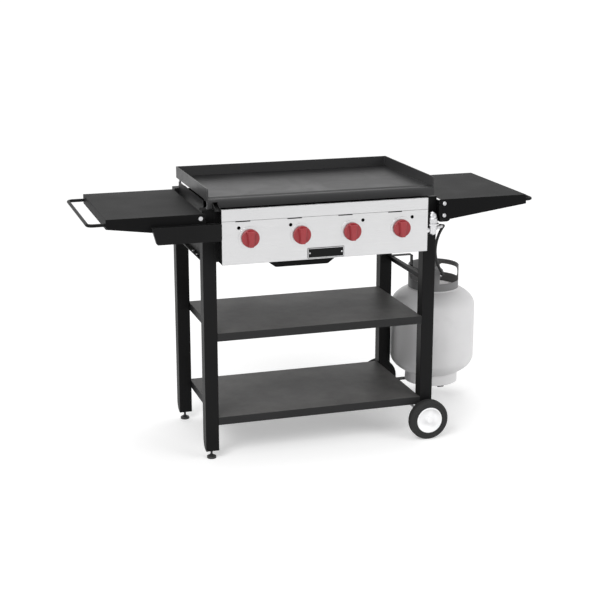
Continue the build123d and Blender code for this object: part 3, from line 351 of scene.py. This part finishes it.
def effect(tree, name, vector, **inputs):
    """Place a shared effect in a material."""
    made = add_node(tree, "Group", node_tree=bpy.data.node_groups[name])
    tree.links.new(vector, made.inputs["Vector"])
    for socket, value in inputs.items():
        made.inputs[socket.replace("_", " ")].default_value = value
    return made.outputs


def blend_colour(tree, mask, first, second):
    """Mix two colours by a mask."""
    mix = add_node(tree, "Mix", data_type="RGBA")
    for socket, source in ((0, mask), (6, first), (7, second)):
        if isinstance(source, bpy.types.NodeSocket):
            tree.links.new(source, mix.inputs[socket])
        else:
            mix.inputs[socket].default_value = (*source, 1.0) if socket else source
    return mix.outputs[2]


def shade(colour, factor):
    """A colour made lighter or darker."""
    return tuple(min(1.0, part * factor) for part in colour)


def bump(tree, shader, height, distance, strength=1.0):
    """Fine relief from a height pattern."""
    made = add_node(tree, "Bump", {"Height": height, "Distance": distance, "Strength": strength})
    tree.links.new(made.outputs[0], shader.inputs["Normal"])


def coated_steel(name, colour, roughness=0.45, level=0.10, dust_and_top_light=0.08, wear=0.5, dust_and_top_light_tone=0.1):
    """Powder coat: fine orange peel, patchy tone, thin dust and edges rubbed paler. A large dust amount
    also paints light onto the upward faces.
    """
    tree, shader, place = start_finish(name, roughness, Specular_IOR_Level=level)
    grain = effect(tree, "surface_grain", place, Grain_Scale=1400.0, Patch_Scale=4.0)
    worn = effect(tree, "edge_wear", place, Radius=0.0016, Amount=wear)["Mask"]
    # Dust on the upward faces. Turned up high, it is also painted light on the tops.
    dust_and_top_light_mask = effect(tree, "dust_and_painted_top_light", place, Amount=dust_and_top_light)["Mask"]
    tone = blend_colour(tree, grain["Tone"], shade(colour, 0.84), shade(colour, 1.18))
    tone = blend_colour(tree, dust_and_top_light_mask, tone, (dust_and_top_light_tone, dust_and_top_light_tone * 0.98, dust_and_top_light_tone * 0.95))
    tone = blend_colour(tree, worn, tone, (0.10, 0.10, 0.102))
    tree.links.new(tone, shader.inputs["Base Color"])
    patchy = remap(tree, grain["Tone"], 0, 1, roughness - 0.04, roughness + 0.05)
    tree.links.new(patchy, shader.inputs["Roughness"])
    bump(tree, shader, grain["Height"], 0.00012, 0.5)


def metal(name, colour, roughness, stretch, depth=0.00004, level=0.08):
    """Bare or plated metal with brushing or rolling lines."""
    tree, shader, place = start_finish(name, roughness, Metallic=1.0)
    lines = effect(tree, "brushed_lines", place, Stretch=stretch)
    marks = effect(tree, "grease_marks", place, Scale=6.0, Spread=0.58)["Mask"]
    tone = blend_colour(tree, lines["Tone"], shade(colour, 0.95), shade(colour, 1.04))
    tone = blend_colour(tree, maths(tree, "MULTIPLY", marks, 0.25), tone, shade(colour, 0.9))
    tree.links.new(tone, shader.inputs["Base Color"])
    streaked = remap(tree, lines["Tone"], 0, 1, roughness - level, roughness + level)
    tree.links.new(streaked, shader.inputs["Roughness"])
    bump(tree, shader, lines["Height"], depth, 0.35)


def moulded(name, colour, roughness, grain_scale=1600.0, depth=0.00006, dust_and_top_light=0.1):
    """Moulded plastic: fine texture, slight tone and dust in the tops."""
    tree, shader, place = start_finish(name, roughness)
    grain = effect(tree, "surface_grain", place, Grain_Scale=grain_scale, Patch_Scale=20.0)
    dust_and_top_light_mask = effect(tree, "dust_and_painted_top_light", place, Amount=dust_and_top_light)["Mask"]
    tone = blend_colour(tree, grain["Tone"], shade(colour, 0.93), shade(colour, 1.06))
    tone = blend_colour(tree, dust_and_top_light_mask, tone, shade(colour, 1.5))
    tree.links.new(tone, shader.inputs["Base Color"])
    textured = remap(tree, grain["Height"], 0.3, 0.7, roughness - 0.05, roughness + 0.06)
    tree.links.new(textured, shader.inputs["Roughness"])
    bump(tree, shader, grain["Height"], depth, 0.5)


def painted_tank(name, colour, roughness):
    """Thick gloss paint with soft orange peel and a few scuffs."""
    tree, shader, place = start_finish(name, roughness)
    grain = effect(tree, "surface_grain", place, Grain_Scale=420.0, Patch_Scale=6.0)
    scuffs = effect(tree, "grease_marks", place, Scale=16.0, Spread=0.70)["Mask"]
    worn = effect(tree, "edge_wear", place, Radius=0.0015, Amount=0.35)["Mask"]
    tone = blend_colour(tree, grain["Tone"], shade(colour, 0.96), shade(colour, 1.03))
    tone = blend_colour(tree, maths(tree, "MULTIPLY", scuffs, 0.3), tone, shade(colour, 0.78))
    tone = blend_colour(tree, worn, tone, shade(colour, 0.6))
    tree.links.new(tone, shader.inputs["Base Color"])
    tree.links.new(remap(tree, scuffs, 0, 1, roughness, roughness + 0.18), shader.inputs["Roughness"])
    bump(tree, shader, grain["Height"], 0.00018, 0.4)


def seasoned_plate(name, colour):
    """Rolled steel under baked oil with a greasy film. A painted reflection darkens the top towards the
    back walls, and painted shade darkens the faces that look forward.
    """
    tree, shader, place = start_finish(name, 0.36, Specular_IOR_Level=0.14)
    grain = effect(tree, "surface_grain", place, Grain_Scale=700.0, Patch_Scale=3.0)
    rolled = effect(tree, "brushed_lines", place, Stretch=(5.0, 120.0, 120.0))
    film = effect(tree, "grease_marks", place, Scale=5.0, Spread=0.52)["Mask"]
    worn = effect(tree, "edge_wear", place, Radius=0.002, Amount=0.4)["Mask"]
    low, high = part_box("griddle_plate")
    # Painted reflection: the cooking top is painted lighter at the front and darker towards the back walls,
    # standing in for the back wall mirrored in the oily steel.
    depth = add_node(tree, "SeparateXYZ", {0: place}).outputs["Y"]
    painted_reflection_toward_back = remap(tree, depth, low.y + 0.05, high.y)
    tone = blend_colour(tree, painted_reflection_toward_back, shade(colour, 0.66), shade(colour, 0.10))
    # Painted shade: faces that look forward are painted darker than the other sides, while the top keeps
    # its painted reflection.
    facing = add_node(tree, "SeparateXYZ", {0: add_node(tree, "NewGeometry").outputs["Normal"]}).outputs
    sides_with_painted_shade = blend_colour(tree, remap(tree, facing["Y"], -0.5, -0.9), colour, shade(colour, 0.75))
    tone = blend_colour(tree, remap(tree, facing["Z"], 0.5, 0.9), sides_with_painted_shade, tone)
    tone = blend_colour(tree, maths(tree, "MULTIPLY", grain["Tone"], 0.35), tone, shade(colour, 0.7))
    tone = blend_colour(tree, maths(tree, "MULTIPLY", rolled["Tone"], 0.1), tone, shade(colour, 1.3))
    tone = blend_colour(tree, worn, tone, (0.16, 0.16, 0.16))
    tree.links.new(tone, shader.inputs["Base Color"])
    tree.links.new(remap(tree, film, 0, 1, 0.38, 0.30), shader.inputs["Roughness"])
    bump(tree, shader, grain["Height"], 0.00015, 0.4)


def rubber(name, colour, roughness=0.62):
    """Rubber with a dry bloom and fine grain."""
    tree, shader, place = start_finish(name, roughness)
    grain = effect(tree, "surface_grain", place, Grain_Scale=900.0, Patch_Scale=30.0)
    bloom = effect(tree, "grease_marks", place, Scale=40.0, Spread=0.55)["Mask"]
    tone = blend_colour(tree, grain["Tone"], shade(colour, 0.85), shade(colour, 1.15))
    tone = blend_colour(tree, maths(tree, "MULTIPLY", bloom, 0.4), tone, shade(colour, 1.8))
    tree.links.new(tone, shader.inputs["Base Color"])
    tree.links.new(remap(tree, bloom, 0, 1, roughness, roughness + 0.12), shader.inputs["Roughness"])
    bump(tree, shader, grain["Height"], 0.0001, 0.6)


FINISH_OF_NODE = {
    "frame_coat": [
        "leg_front_left", "leg_rear_left", "leg_front_right", "leg_rear_right", "box_end_left",
        "box_end_right", "box_floor", "box_front", "box_back", "panel_sides", "handle_left",
        "handle_right", "shelf_brackets", "grease_tray", "grease_tray_hanger", "drip_pan",
        "drip_pan_rails", "tank_rail", "tank_hanger", "tank_support", "grease_spout", "badge_plate",
    ],
    "shelf_coat": ["shelf_middle", "shelf_lower"],
    "side_shelf_coat": ["side_shelf_left", "side_shelf_right"],
    "seasoned_steel": ["griddle_plate"],
    "brushed_stainless": ["control_panel", "panel_top_strip", "knob_bezels"],
    "burner_steel": ["burners"],
    "zinc_plating": [
        "plate_posts", "valve_stem_1", "valve_stem_2", "valve_stem_3", "valve_stem_4", "axle",
        "axle_fittings", "frame_screws", "shelf_bolts",
    ],
    "die_cast_zinc": ["regulator"],
    "turned_brass": ["gas_valves", "tank_valve"],
    "black_pipe": ["manifold"],
    "knob_red": ["knob_1", "knob_2", "knob_3", "knob_4"],
    "hose_rubber": ["gas_hose"],
    "coupling_plastic": ["hose_coupling"],
    "foot_plastic": ["foot_front", "foot_rear"],
    "tank_paint": ["tank_body", "tank_foot_ring"],
    "collar_paint": ["tank_collar"],
    "tyre_rubber": ["wheel_tyre_1", "wheel_tyre_2"],
    "wheel_white": ["wheel_hub_1", "wheel_hub_2"],
    "handwheel_plastic": ["tank_handwheel"],
}


class GRIDDLE_OT_finishes(bpy.types.Operator):
    """Make every finish and dress the frame's own pieces"""

    bl_idname = "griddle.finishes"
    bl_label = "Finishes"

    def execute(self, context):
        chosen = context.scene.griddle_finishes
        build_effect_groups()
        coated_steel("frame_coat", tuple(chosen.frame_coat))
        # The open shelves take so much dust, in a lighter tone, that their tops are painted lighter. This
        # is partly real dust and partly a painted highlight for the light falling on them.
        coated_steel(
            "shelf_coat", tuple(chosen.shelf_coat), roughness=0.5, level=0.22, dust_and_top_light=0.75, dust_and_top_light_tone=0.15
        )
        coated_steel("side_shelf_coat", tuple(chosen.side_coat), roughness=0.52, level=0.07, dust_and_top_light=0.06)
        seasoned_plate("seasoned_steel", tuple(chosen.cooking_steel))
        metal("brushed_stainless", tuple(chosen.stainless), 0.34, (7.0, 1100.0, 1100.0))
        metal("burner_steel", (0.45, 0.44, 0.43), 0.4, (300.0, 6.0, 300.0))
        metal("zinc_plating", (0.52, 0.52, 0.53), 0.36, (240.0, 240.0, 240.0))
        metal("die_cast_zinc", (0.60, 0.60, 0.61), 0.30, (160.0, 160.0, 160.0), 0.00008)
        metal("turned_brass", (0.62, 0.45, 0.20), 0.32, (300.0, 300.0, 40.0))
        metal("black_pipe", (0.06, 0.06, 0.062), 0.5, (30.0, 260.0, 260.0))
        moulded("knob_red", tuple(chosen.knob_red), 0.42)
        moulded("coupling_plastic", (0.24, 0.24, 0.243), 0.5)
        moulded("foot_plastic", (0.018, 0.018, 0.018), 0.5)
        moulded("wheel_white", tuple(chosen.wheel_white), 0.4, 1200.0, 0.00004, 0.0)
        moulded("handwheel_plastic", (0.03, 0.03, 0.032), 0.5)
        moulded("badge_border", (0.62, 0.62, 0.63), 0.35)
        painted_tank("tank_paint", tuple(chosen.tank_paint), 0.4)
        painted_tank("collar_paint", tuple(chosen.collar_paint), 0.48)
        rubber("tyre_rubber", tuple(chosen.rubber))
        rubber("hose_rubber", (0.014, 0.014, 0.015), 0.5)
        for finish, names in FINISH_OF_NODE.items():
            for name in names:
                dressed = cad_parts[name]
                dressed.data.materials.clear()
                dressed.data.materials.append(bpy.data.materials[finish])
        return {"FINISHED"}


# ------------------------------------------------------------------ camera and hose

CAMERA_PLACE = (-1.4061, -4.5301, 1.7518)
CAMERA_TILT = (math.radians(74.92), 0.0, math.radians(-17.36))
CAMERA_LENS = 82.51

HOSE_ROUTE = (
    (0.4236, -0.2537, 0.765),
    (0.4513, -0.2377, 0.765),
    (0.4685, -0.2102, 0.758),
    (0.4765, -0.1722, 0.739),
    (0.4825, -0.1322, 0.708),
    (0.4915, -0.0922, 0.671),
    (0.5045, -0.0542, 0.632),
    (0.5215, -0.0222, 0.596),
    (0.5415, 0.0038, 0.562),
    (0.5625, 0.0238, 0.534),
    (0.5805, 0.0448, 0.515),
    (0.5914, 0.0729, 0.505),
    (0.5902, 0.1068, 0.505),
)


class GRIDDLE_OT_camera(bpy.types.Operator):
    """Place the camera before the cart"""

    bl_idname = "griddle.camera"
    bl_label = "Camera"

    def execute(self, context):
        lens = bpy.data.cameras.new("cart_camera")
        lens.lens = CAMERA_LENS
        lens.sensor_width = 36.0
        lens.clip_end = 300.0
        camera = bpy.data.objects.new("cart_camera", lens)
        camera.location = CAMERA_PLACE
        camera.rotation_euler = CAMERA_TILT
        context.scene.collection.objects.link(camera)
        context.scene.camera = camera
        return {"FINISHED"}


def make_ferrule(name, mouth, direction, length, radius):
    """Crimped sleeve on a hose end, with three pressed rings."""
    outline = [(0.0, radius + 0.0002), (0.0, radius + 0.0028)]
    ring = length / 8
    for place in range(1, 8):
        out = radius + (0.0028 if place % 2 == 0 else 0.0018)
        outline.append((place * ring - ring * 0.3, out))
        outline.append((place * ring + ring * 0.3, out))
    outline += [(length, radius + 0.0022), (length, radius + 0.0002)]
    outline.append(outline[0])
    sleeve = lathe(outline, mouth, direction, 40)
    return finish_piece(sleeve, name, "zinc_plating", "frame")


class GRIDDLE_OT_gas_hose(bpy.types.Operator):
    """Lay the gas hose from the regulator to the tank, with a sleeve at each end"""

    bl_idname = "griddle.gas_hose"
    bl_label = "Gas hose"

    def execute(self, context):
        sizes = context.scene.griddle_sizes
        curve = bpy.data.curves.new("gas_hose_line", "CURVE")
        curve.dimensions = "3D"
        curve.resolution_u = 16
        curve.bevel_depth = sizes.hose_diameter / 2
        curve.bevel_resolution = 6
        curve.use_fill_caps = True
        spline = curve.splines.new("NURBS")
        spline.points.add(len(HOSE_ROUTE) - 1)
        for point, place in zip(spline.points, HOSE_ROUTE):
            point.co = (*place, 1.0)
        spline.order_u = 3
        spline.use_endpoint_u = True
        hose = bpy.data.objects.new("gas_hose_line", curve)
        context.scene.collection.objects.link(hose)
        curve.materials.append(bpy.data.materials["hose_rubber"])
        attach(hose, "frame")
        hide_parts("gas_hose")
        starts = (Vector(HOSE_ROUTE[0]), Vector(HOSE_ROUTE[-1]))
        toward = (Vector(HOSE_ROUTE[1]) - starts[0], Vector(HOSE_ROUTE[-2]) - starts[1])
        sleeves = [
            make_ferrule(f"hose_sleeve_{number}", start, way, sizes.ferrule_length, sizes.hose_diameter / 2)
            for number, start, way in zip((1, 2), starts, toward)
        ]
        return {"FINISHED"}


# ------------------------------------------------------------------ stage


def seen_directly(tree):
    """One for rays that see a surface as it is, and nought for rays that only light others."""
    rays = add_node(tree, "LightPath").outputs
    seen = maths(tree, "MAXIMUM", rays["Is Camera Ray"], rays["Is Glossy Ray"])
    return maths(tree, "MAXIMUM", seen, rays["Is Transmission Ray"])


class GRIDDLE_OT_stage(bpy.types.Operator):
    """Lay a pale floor under soft light"""

    bl_idname = "griddle.stage"
    bl_label = "Stage"

    def execute(self, context):
        deselect()
        bpy.ops.mesh.primitive_plane_add(size=160.0, location=(0, 0, 0))
        floor = bpy.context.object
        floor.name = "floor"
        bpy.ops.object.mode_set(mode="EDIT")
        bpy.ops.mesh.subdivide(number_cuts=3)
        bpy.ops.object.mode_set(mode="OBJECT")
        tree, shader, place = start_finish("floor_white", 0.9, Specular_IOR_Level=0.0)
        grain = effect(tree, "surface_grain", place, Grain_Scale=60.0, Patch_Scale=0.5)
        tone = blend_colour(tree, grain["Tone"], (0.80, 0.80, 0.80), (0.815, 0.815, 0.815))
        tree.links.new(tone, shader.inputs["Base Color"])
        seen = seen_directly(tree)
        shader.inputs["Emission Color"].default_value = (1, 1, 1, 1)
        distance = add_node(tree, "VectorMath", {0: place}, operation="LENGTH").outputs["Value"]
        glow = remap(tree, distance, 2.0, 9.0, 0.36, 0.68)
        tree.links.new(maths(tree, "MULTIPLY", seen, glow), shader.inputs["Emission Strength"])
        floor.data.materials.append(bpy.data.materials["floor_white"])

        world = bpy.data.worlds.new("studio")
        context.scene.world = world
        world.use_nodes = True
        tree = world.node_tree
        tree.nodes.clear()
        seen = seen_directly(tree)
        soft = add_node(tree, "Background", {"Color": (1, 1, 1, 1), "Strength": 0.5})
        white = add_node(tree, "Background", {"Color": (1, 1, 1, 1), "Strength": 1.0})
        mix = add_node(tree, "MixShader", {0: seen, 1: soft.outputs[0], 2: white.outputs[0]})
        tree.links.new(mix.outputs[0], add_node(tree, "OutputWorld").inputs[0])

        middle = Vector((0.0, 0.0, 0.6))
        for name, place, power, size in (
            ("key_light", (-3.2, -3.6, 4.2), 165.0, 2.6),
            ("fill_light", (3.4, -4.0, 2.2), 95.0, 3.0),
            ("top_light", (0.3, 0.8, 4.6), 70.0, 3.2),
        ):
            lamp = bpy.data.lights.new(name, "AREA")
            lamp.energy = power
            lamp.size = size
            lit = bpy.data.objects.new(name, lamp)
            lit.location = place
            lit.visible_glossy = name != "fill_light"
            lit.rotation_euler = (middle - Vector(place)).to_track_quat("-Z", "Y").to_euler()
            context.scene.collection.objects.link(lit)
        context.scene.view_settings.view_transform = "Standard"
        return {"FINISHED"}


# ------------------------------------------------------------------ knobs and badge


class GRIDDLE_OT_knobs(bpy.types.Operator):
    """Model one knob, fluted at its skirt with a tapered grip, and copy it for each valve"""

    bl_idname = "griddle.knobs"
    bl_label = "Knobs"

    def execute(self, context):
        skirt = context.scene.griddle_sizes.knob_rim
        low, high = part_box("knob_1")
        centre = (low + high) / 2
        radius = (high.x - low.x) / 2
        back = high.y
        middle = (centre.x, back - skirt / 2, centre.z)
        disc = new_cylinder(middle, radius, skirt, 72, (math.radians(90), 0, 0))
        start_edit(disc)
        choose_faces(disc, lambda place, normal: normal.y < -0.9)
        bpy.ops.mesh.inset(thickness=0.0022)
        bpy.ops.transform.translate(value=(0, -0.0012, 0))
        bpy.ops.mesh.inset(thickness=0.0030)
        bpy.ops.transform.translate(value=(0, 0.0009, 0))
        bpy.ops.mesh.inset(thickness=0.0060)
        bpy.ops.transform.translate(value=(0, -0.0010, 0))

        def flute(place, normal):
            turn = math.degrees(math.atan2(place.z - centre.z, place.x - centre.x)) % 20
            return abs(normal.y) < 0.2 and turn < 5

        choose_faces(disc, flute)
        bpy.ops.mesh.inset(thickness=0.0004, use_individual=True)
        bpy.ops.transform.shrink_fatten(value=-0.0007)
        bpy.ops.object.mode_set(mode="OBJECT")
        bevel_all(disc, 0.0006, 2)

        half_grip = 0.0175
        grip_foot = centre.z - radius + 0.0004
        grip_head = centre.z + radius - 0.005
        grip = new_block(
            (centre.x - half_grip, low.y, grip_foot),
            (centre.x + half_grip, back - skirt * 0.7, grip_head),
        )
        start_edit(grip)
        choose_faces(grip, lambda place, normal: normal.y < -0.9)
        bpy.ops.transform.resize(value=(0.62, 1.0, 0.94))
        choose_faces(grip, lambda place, normal: normal.z < -0.8)
        bpy.ops.transform.resize(value=(0.6, 1.0, 1.0))
        choose_faces(grip, lambda place, normal: abs(normal.z) > 0.8)
        bpy.ops.mesh.inset(thickness=0.0015)
        bpy.ops.object.mode_set(mode="OBJECT")
        bevel_all(grip, 0.0028, 4, 20.0)
        knob = join_into(disc, [grip])

        half_pointer = 0.0011
        pointer_top = centre.z + radius - 0.0085
        pointer_length = 0.009
        pointer = new_block(
            (centre.x - half_pointer, low.y - 0.0003, pointer_top - pointer_length),
            (centre.x + half_pointer, low.y + 0.0012, pointer_top),
        )
        bevel_all(pointer, 0.0004, 2)
        copies = []
        for number in (1, 2, 3, 4):
            near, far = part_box(f"knob_{number}")
            across = (near.x + far.x) / 2 - centre.x
            for part, label in ((knob, "grip"), (pointer, "pointer")):
                copy = part.copy()
                copy.data = part.data.copy()
                copy.location.x += across
                context.scene.collection.objects.link(copy)
                copies.append((copy, label, number))
        for part in (knob, pointer):
            bpy.data.objects.remove(part)
        for copy, label, number in copies:
            name, body = f"knob_{label}_{number}", f"knob_{number}_set"
            finish_piece(copy, name, "knob_red", body, 40.0)
            if label == "grip":
                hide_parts(f"knob_{number}")
        return {"FINISHED"}


class GRIDDLE_OT_badge(bpy.types.Operator):
    """Frame the bare badge plate with a thin raised border and two rivets"""

    bl_idname = "griddle.badge"
    bl_label = "Badge border"

    def execute(self, context):
        low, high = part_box("badge_plate")
        rim = 0.0016
        front, back = low.y - 0.0007, low.y + 0.0004
        border = new_block((low.x + rim, front, low.z + rim), (high.x - rim, back, high.z - rim))
        start_edit(border)
        choose_faces(border, lambda place, normal: normal.y < -0.9)
        bpy.ops.mesh.inset(thickness=rim)
        bpy.ops.mesh.delete(type="FACE")
        choose_faces(border, lambda place, normal: normal.y > 0.9)
        bpy.ops.mesh.inset(thickness=rim)
        bpy.ops.mesh.delete(type="FACE")
        bpy.ops.mesh.select_all(action="DESELECT")
        inner = (high.x - low.x) / 2 - 1.5 * rim
        middle = (low + high) / 2
        tall = (high.z - low.z) / 2 - 1.5 * rim

        def on_inner(first, second):
            ends = (first - middle, second - middle)
            return all(abs(end.x) < inner and abs(end.z) < tall for end in ends)

        choose_edges(border, on_inner)
        bpy.ops.mesh.bridge_edge_loops()
        bpy.ops.object.mode_set(mode="OBJECT")
        finish_piece(border, "badge_border", "badge_border", "frame", 30.0)
        for number, side in ((1, -1), (2, 1)):
            x = middle.x + side * ((high.x - low.x) / 2 - 0.008)
            outline = [(0, 0.0030), (0.0005, 0.0029), (0.0012, 0.0020), (0.0015, 0.0)]
            rivet = lathe(outline, (x, low.y + 0.0002, middle.z), (0, -1, 0), 24)
            finish_piece(rivet, f"badge_rivet_{number}", "zinc_plating", "frame")
        return {"FINISHED"}


# ------------------------------------------------------------------ wheels


class GRIDDLE_OT_wheels(bpy.types.Operator):
    """Turn the tyres and the dished wheel discs, and cap their hubs"""

    bl_idname = "griddle.wheels"
    bl_label = "Wheels"

    def execute(self, context):
        for number, outward in ((1, -1), (2, 1)):
            low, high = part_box(f"wheel_tyre_{number}")
            centre = (low + high) / 2
            radius = (high.z - low.z) / 2
            half = (high.y - low.y) / 2
            body = f"wheel_{number}"
            tread = radius - 0.0001
            tyre_outline = [
                (-half + 0.0010, 0.0478), (-half, 0.0500), (-half, 0.0560), (-half + 0.0012, 0.0580),
                (-half + 0.0012, 0.0610), (-half + 0.0002, 0.0630), (-half + 0.0014, 0.0670),
                (-half + 0.0042, 0.0702), (-half + 0.0080, tread), (-0.0078, tread),
                (-0.0070, tread - 0.0016), (-0.0054, tread - 0.0016), (-0.0046, tread),
                (-0.0024, tread), (-0.0020, tread - 0.0024),
            ]
            tyre_outline += [(-along, out) for along, out in reversed(tyre_outline)]
            tyre_outline += [(half - 0.001, 0.0466), (-half + 0.001, 0.0466), tyre_outline[0]]
            tyre = lathe(tyre_outline, centre, (0, outward, 0), 96)
            finish_piece(tyre, f"tyre_{number}", "tyre_rubber", body, 30.0)
            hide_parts(f"wheel_tyre_{number}")
            hub_outline = [
                (-half + 0.002, 0.0056), (half - 0.004, 0.0056), (half - 0.004, 0.0100),
                (half - 0.006, 0.0112), (0.0045, 0.0125), (0.0030, 0.0150), (0.0034, 0.0300),
                (0.0060, 0.0360), (0.0100, 0.0392), (half - 0.003, 0.0412), (half - 0.0008, 0.0424),
                (half - 0.0002, 0.0440), (half - 0.0004, 0.0462), (half - 0.0014, 0.0468),
                (-half + 0.0014, 0.0468), (-half + 0.0004, 0.0460), (-half + 0.0004, 0.0440),
                (-half + 0.0040, 0.0418), (-0.0010, 0.0400), (-0.0030, 0.0360), (-0.0032, 0.0150),
                (-0.0050, 0.0120), (-half + 0.002, 0.0108), (-half + 0.002, 0.0056),
            ]
            hub = lathe(hub_outline, centre, (0, outward, 0), 96)
            finish_piece(hub, f"wheel_disc_{number}", "wheel_white", body, 40.0)
            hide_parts(f"wheel_hub_{number}")
            cap_outline = [
                (0.0075, 0.0125), (0.0185, 0.0122), (0.0205, 0.0108), (0.0213, 0.0080), (0.0216, 0.0),
                (0.0206, 0.0), (0.0203, 0.0075), (0.0196, 0.0100), (0.0180, 0.0108), (0.0075, 0.0108),
                (0.0075, 0.0125),
            ]
            cap = lathe(cap_outline, centre, (0, outward, 0), 64)
            finish_piece(cap, f"wheel_cap_{number}", "wheel_white", body, 40.0)
        return {"FINISHED"}


# ------------------------------------------------------------------ tank, bolts and welds


class GRIDDLE_OT_tank_details(bpy.types.Operator):
    """Run weld beads round the tank's collar and foot ring"""

    bl_idname = "griddle.tank_details"
    bl_label = "Tank welds"

    def execute(self, context):
        bead = context.scene.griddle_sizes.weld_bead
        low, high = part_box("tank_body")
        centre = (low + high) / 2
        dome = 0.084
        neck = 0.008
        collar_radius = 0.0955
        foot_radius = 0.1005
        side = (high.x - low.x) / 2
        for name, reach, base, sign in (
            ("collar_weld", collar_radius, high.z - neck - dome, 1),
            ("foot_weld", foot_radius, low.z + dome, -1),
        ):
            height = base + sign * dome * math.sqrt(1 - (reach / side) ** 2)
            outline = [
                (sign * bead * 1.3 * math.sin(turn), reach + bead * 1.3 * math.cos(turn))
                for turn in [math.tau * step / 10 for step in range(11)]
            ]
            ring = lathe(outline, (centre.x, centre.y, height), (0, 0, 1), 128)
            finish_piece(ring, name, "tank_paint", "frame", 60.0)
        return {"FINISHED"}


class GRIDDLE_OT_bolt_caps(bpy.types.Operator):
    """Dome the heads of the side shelves' bolts"""

    bl_idname = "griddle.bolt_caps"
    bl_label = "Bolt heads"

    def execute(self, context):
        low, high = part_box("shelf_bolts")
        inset = 0.007
        pivot_height = low.z + inset
        lock_height = high.z - inset
        for side, x in (("left", low.x + inset), ("right", high.x - inset)):
            # The lifted grease tray passes close in front of the left lock bolt, which stays flat.
            heads = (("pivot", pivot_height), ("lock", lock_height))
            for label, height in heads[:1] if side == "left" else heads:
                outline = [
                    (0.0, 0.0071), (0.0008, 0.0070), (0.0022, 0.0056), (0.0031, 0.0034),
                    (0.0031, 0.0026), (0.0014, 0.0022), (0.0014, 0.0),
                ]
                cap = lathe(outline, (x, low.y + 0.0002, height), (0, -1, 0), 36)
                finish_piece(cap, f"bolt_head_{side}_{label}", "zinc_plating", "frame", 50.0)
        return {"FINISHED"}


class GRIDDLE_OT_plate_welds(bpy.types.Operator):
    """Lay the fillet welds in the cooking plate's two rear corners"""

    bl_idname = "griddle.plate_welds"
    bl_label = "Plate welds"

    def execute(self, context):
        low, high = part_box("griddle_plate")
        wall = 0.004
        for side, x, label in ((1, low.x + wall, "left"), (-1, high.x - wall, "right")):
            y = high.y - wall
            bead = new_cylinder((x + side * 0.0006, y - 0.0006, high.z - 0.020), 0.0030, 0.034, 14)
            start_edit(bead)
            choose_faces(bead, lambda place, normal: abs(normal.z) > 0.9)
            bpy.ops.mesh.inset(thickness=0.0012)
            bpy.ops.transform.translate(value=(0, 0, 0.0001))
            bpy.ops.object.mode_set(mode="OBJECT")
            bevel_all(bead, 0.0008, 2)
            finish_piece(bead, f"plate_weld_{label}", "seasoned_steel", "plate")
        return {"FINISHED"}


# ------------------------------------------------------------------ panel and running


class GRIDDLE_PT_cart(bpy.types.Panel):
    """Lists the cart's pieces and finishes"""

    bl_idname = "GRIDDLE_PT_cart"
    bl_label = "Flat top griddle cart"
    bl_space_type = "VIEW_3D"
    bl_region_type = "UI"
    bl_category = "Griddle cart"

    def draw(self, context):
        layout = self.layout
        for group in (context.scene.griddle_finishes, context.scene.griddle_sizes):
            for name in group.__annotations__:
                layout.prop(group, name)
        for operator in OPERATORS:
            layout.operator(operator.bl_idname)


OPERATORS = (
    GRIDDLE_OT_finishes,
    GRIDDLE_OT_camera,
    GRIDDLE_OT_gas_hose,
    GRIDDLE_OT_stage,
    GRIDDLE_OT_knobs,
    GRIDDLE_OT_badge,
    GRIDDLE_OT_wheels,
    GRIDDLE_OT_tank_details,
    GRIDDLE_OT_bolt_caps,
    GRIDDLE_OT_plate_welds,
)
CLASSES = (GriddleFinishes, GriddleSizes, *OPERATORS, GRIDDLE_PT_cart)


def register():
    """Register the classes and hang their settings on the scene."""
    for item in CLASSES:
        bpy.utils.register_class(item)
    bpy.types.Scene.griddle_finishes = bpy.props.PointerProperty(type=GriddleFinishes)
    bpy.types.Scene.griddle_sizes = bpy.props.PointerProperty(type=GriddleSizes)


def unregister():
    """Take the settings and classes away again."""
    del bpy.types.Scene.griddle_sizes
    del bpy.types.Scene.griddle_finishes
    for item in reversed(CLASSES):
        bpy.utils.unregister_class(item)


def main():
    """Build the dressed cart and its stage."""
    register()
    for operator in OPERATORS:
        family, name = operator.bl_idname.split(".")
        getattr(getattr(bpy.ops, family), name)()


if __name__ == "__main__":
    main()
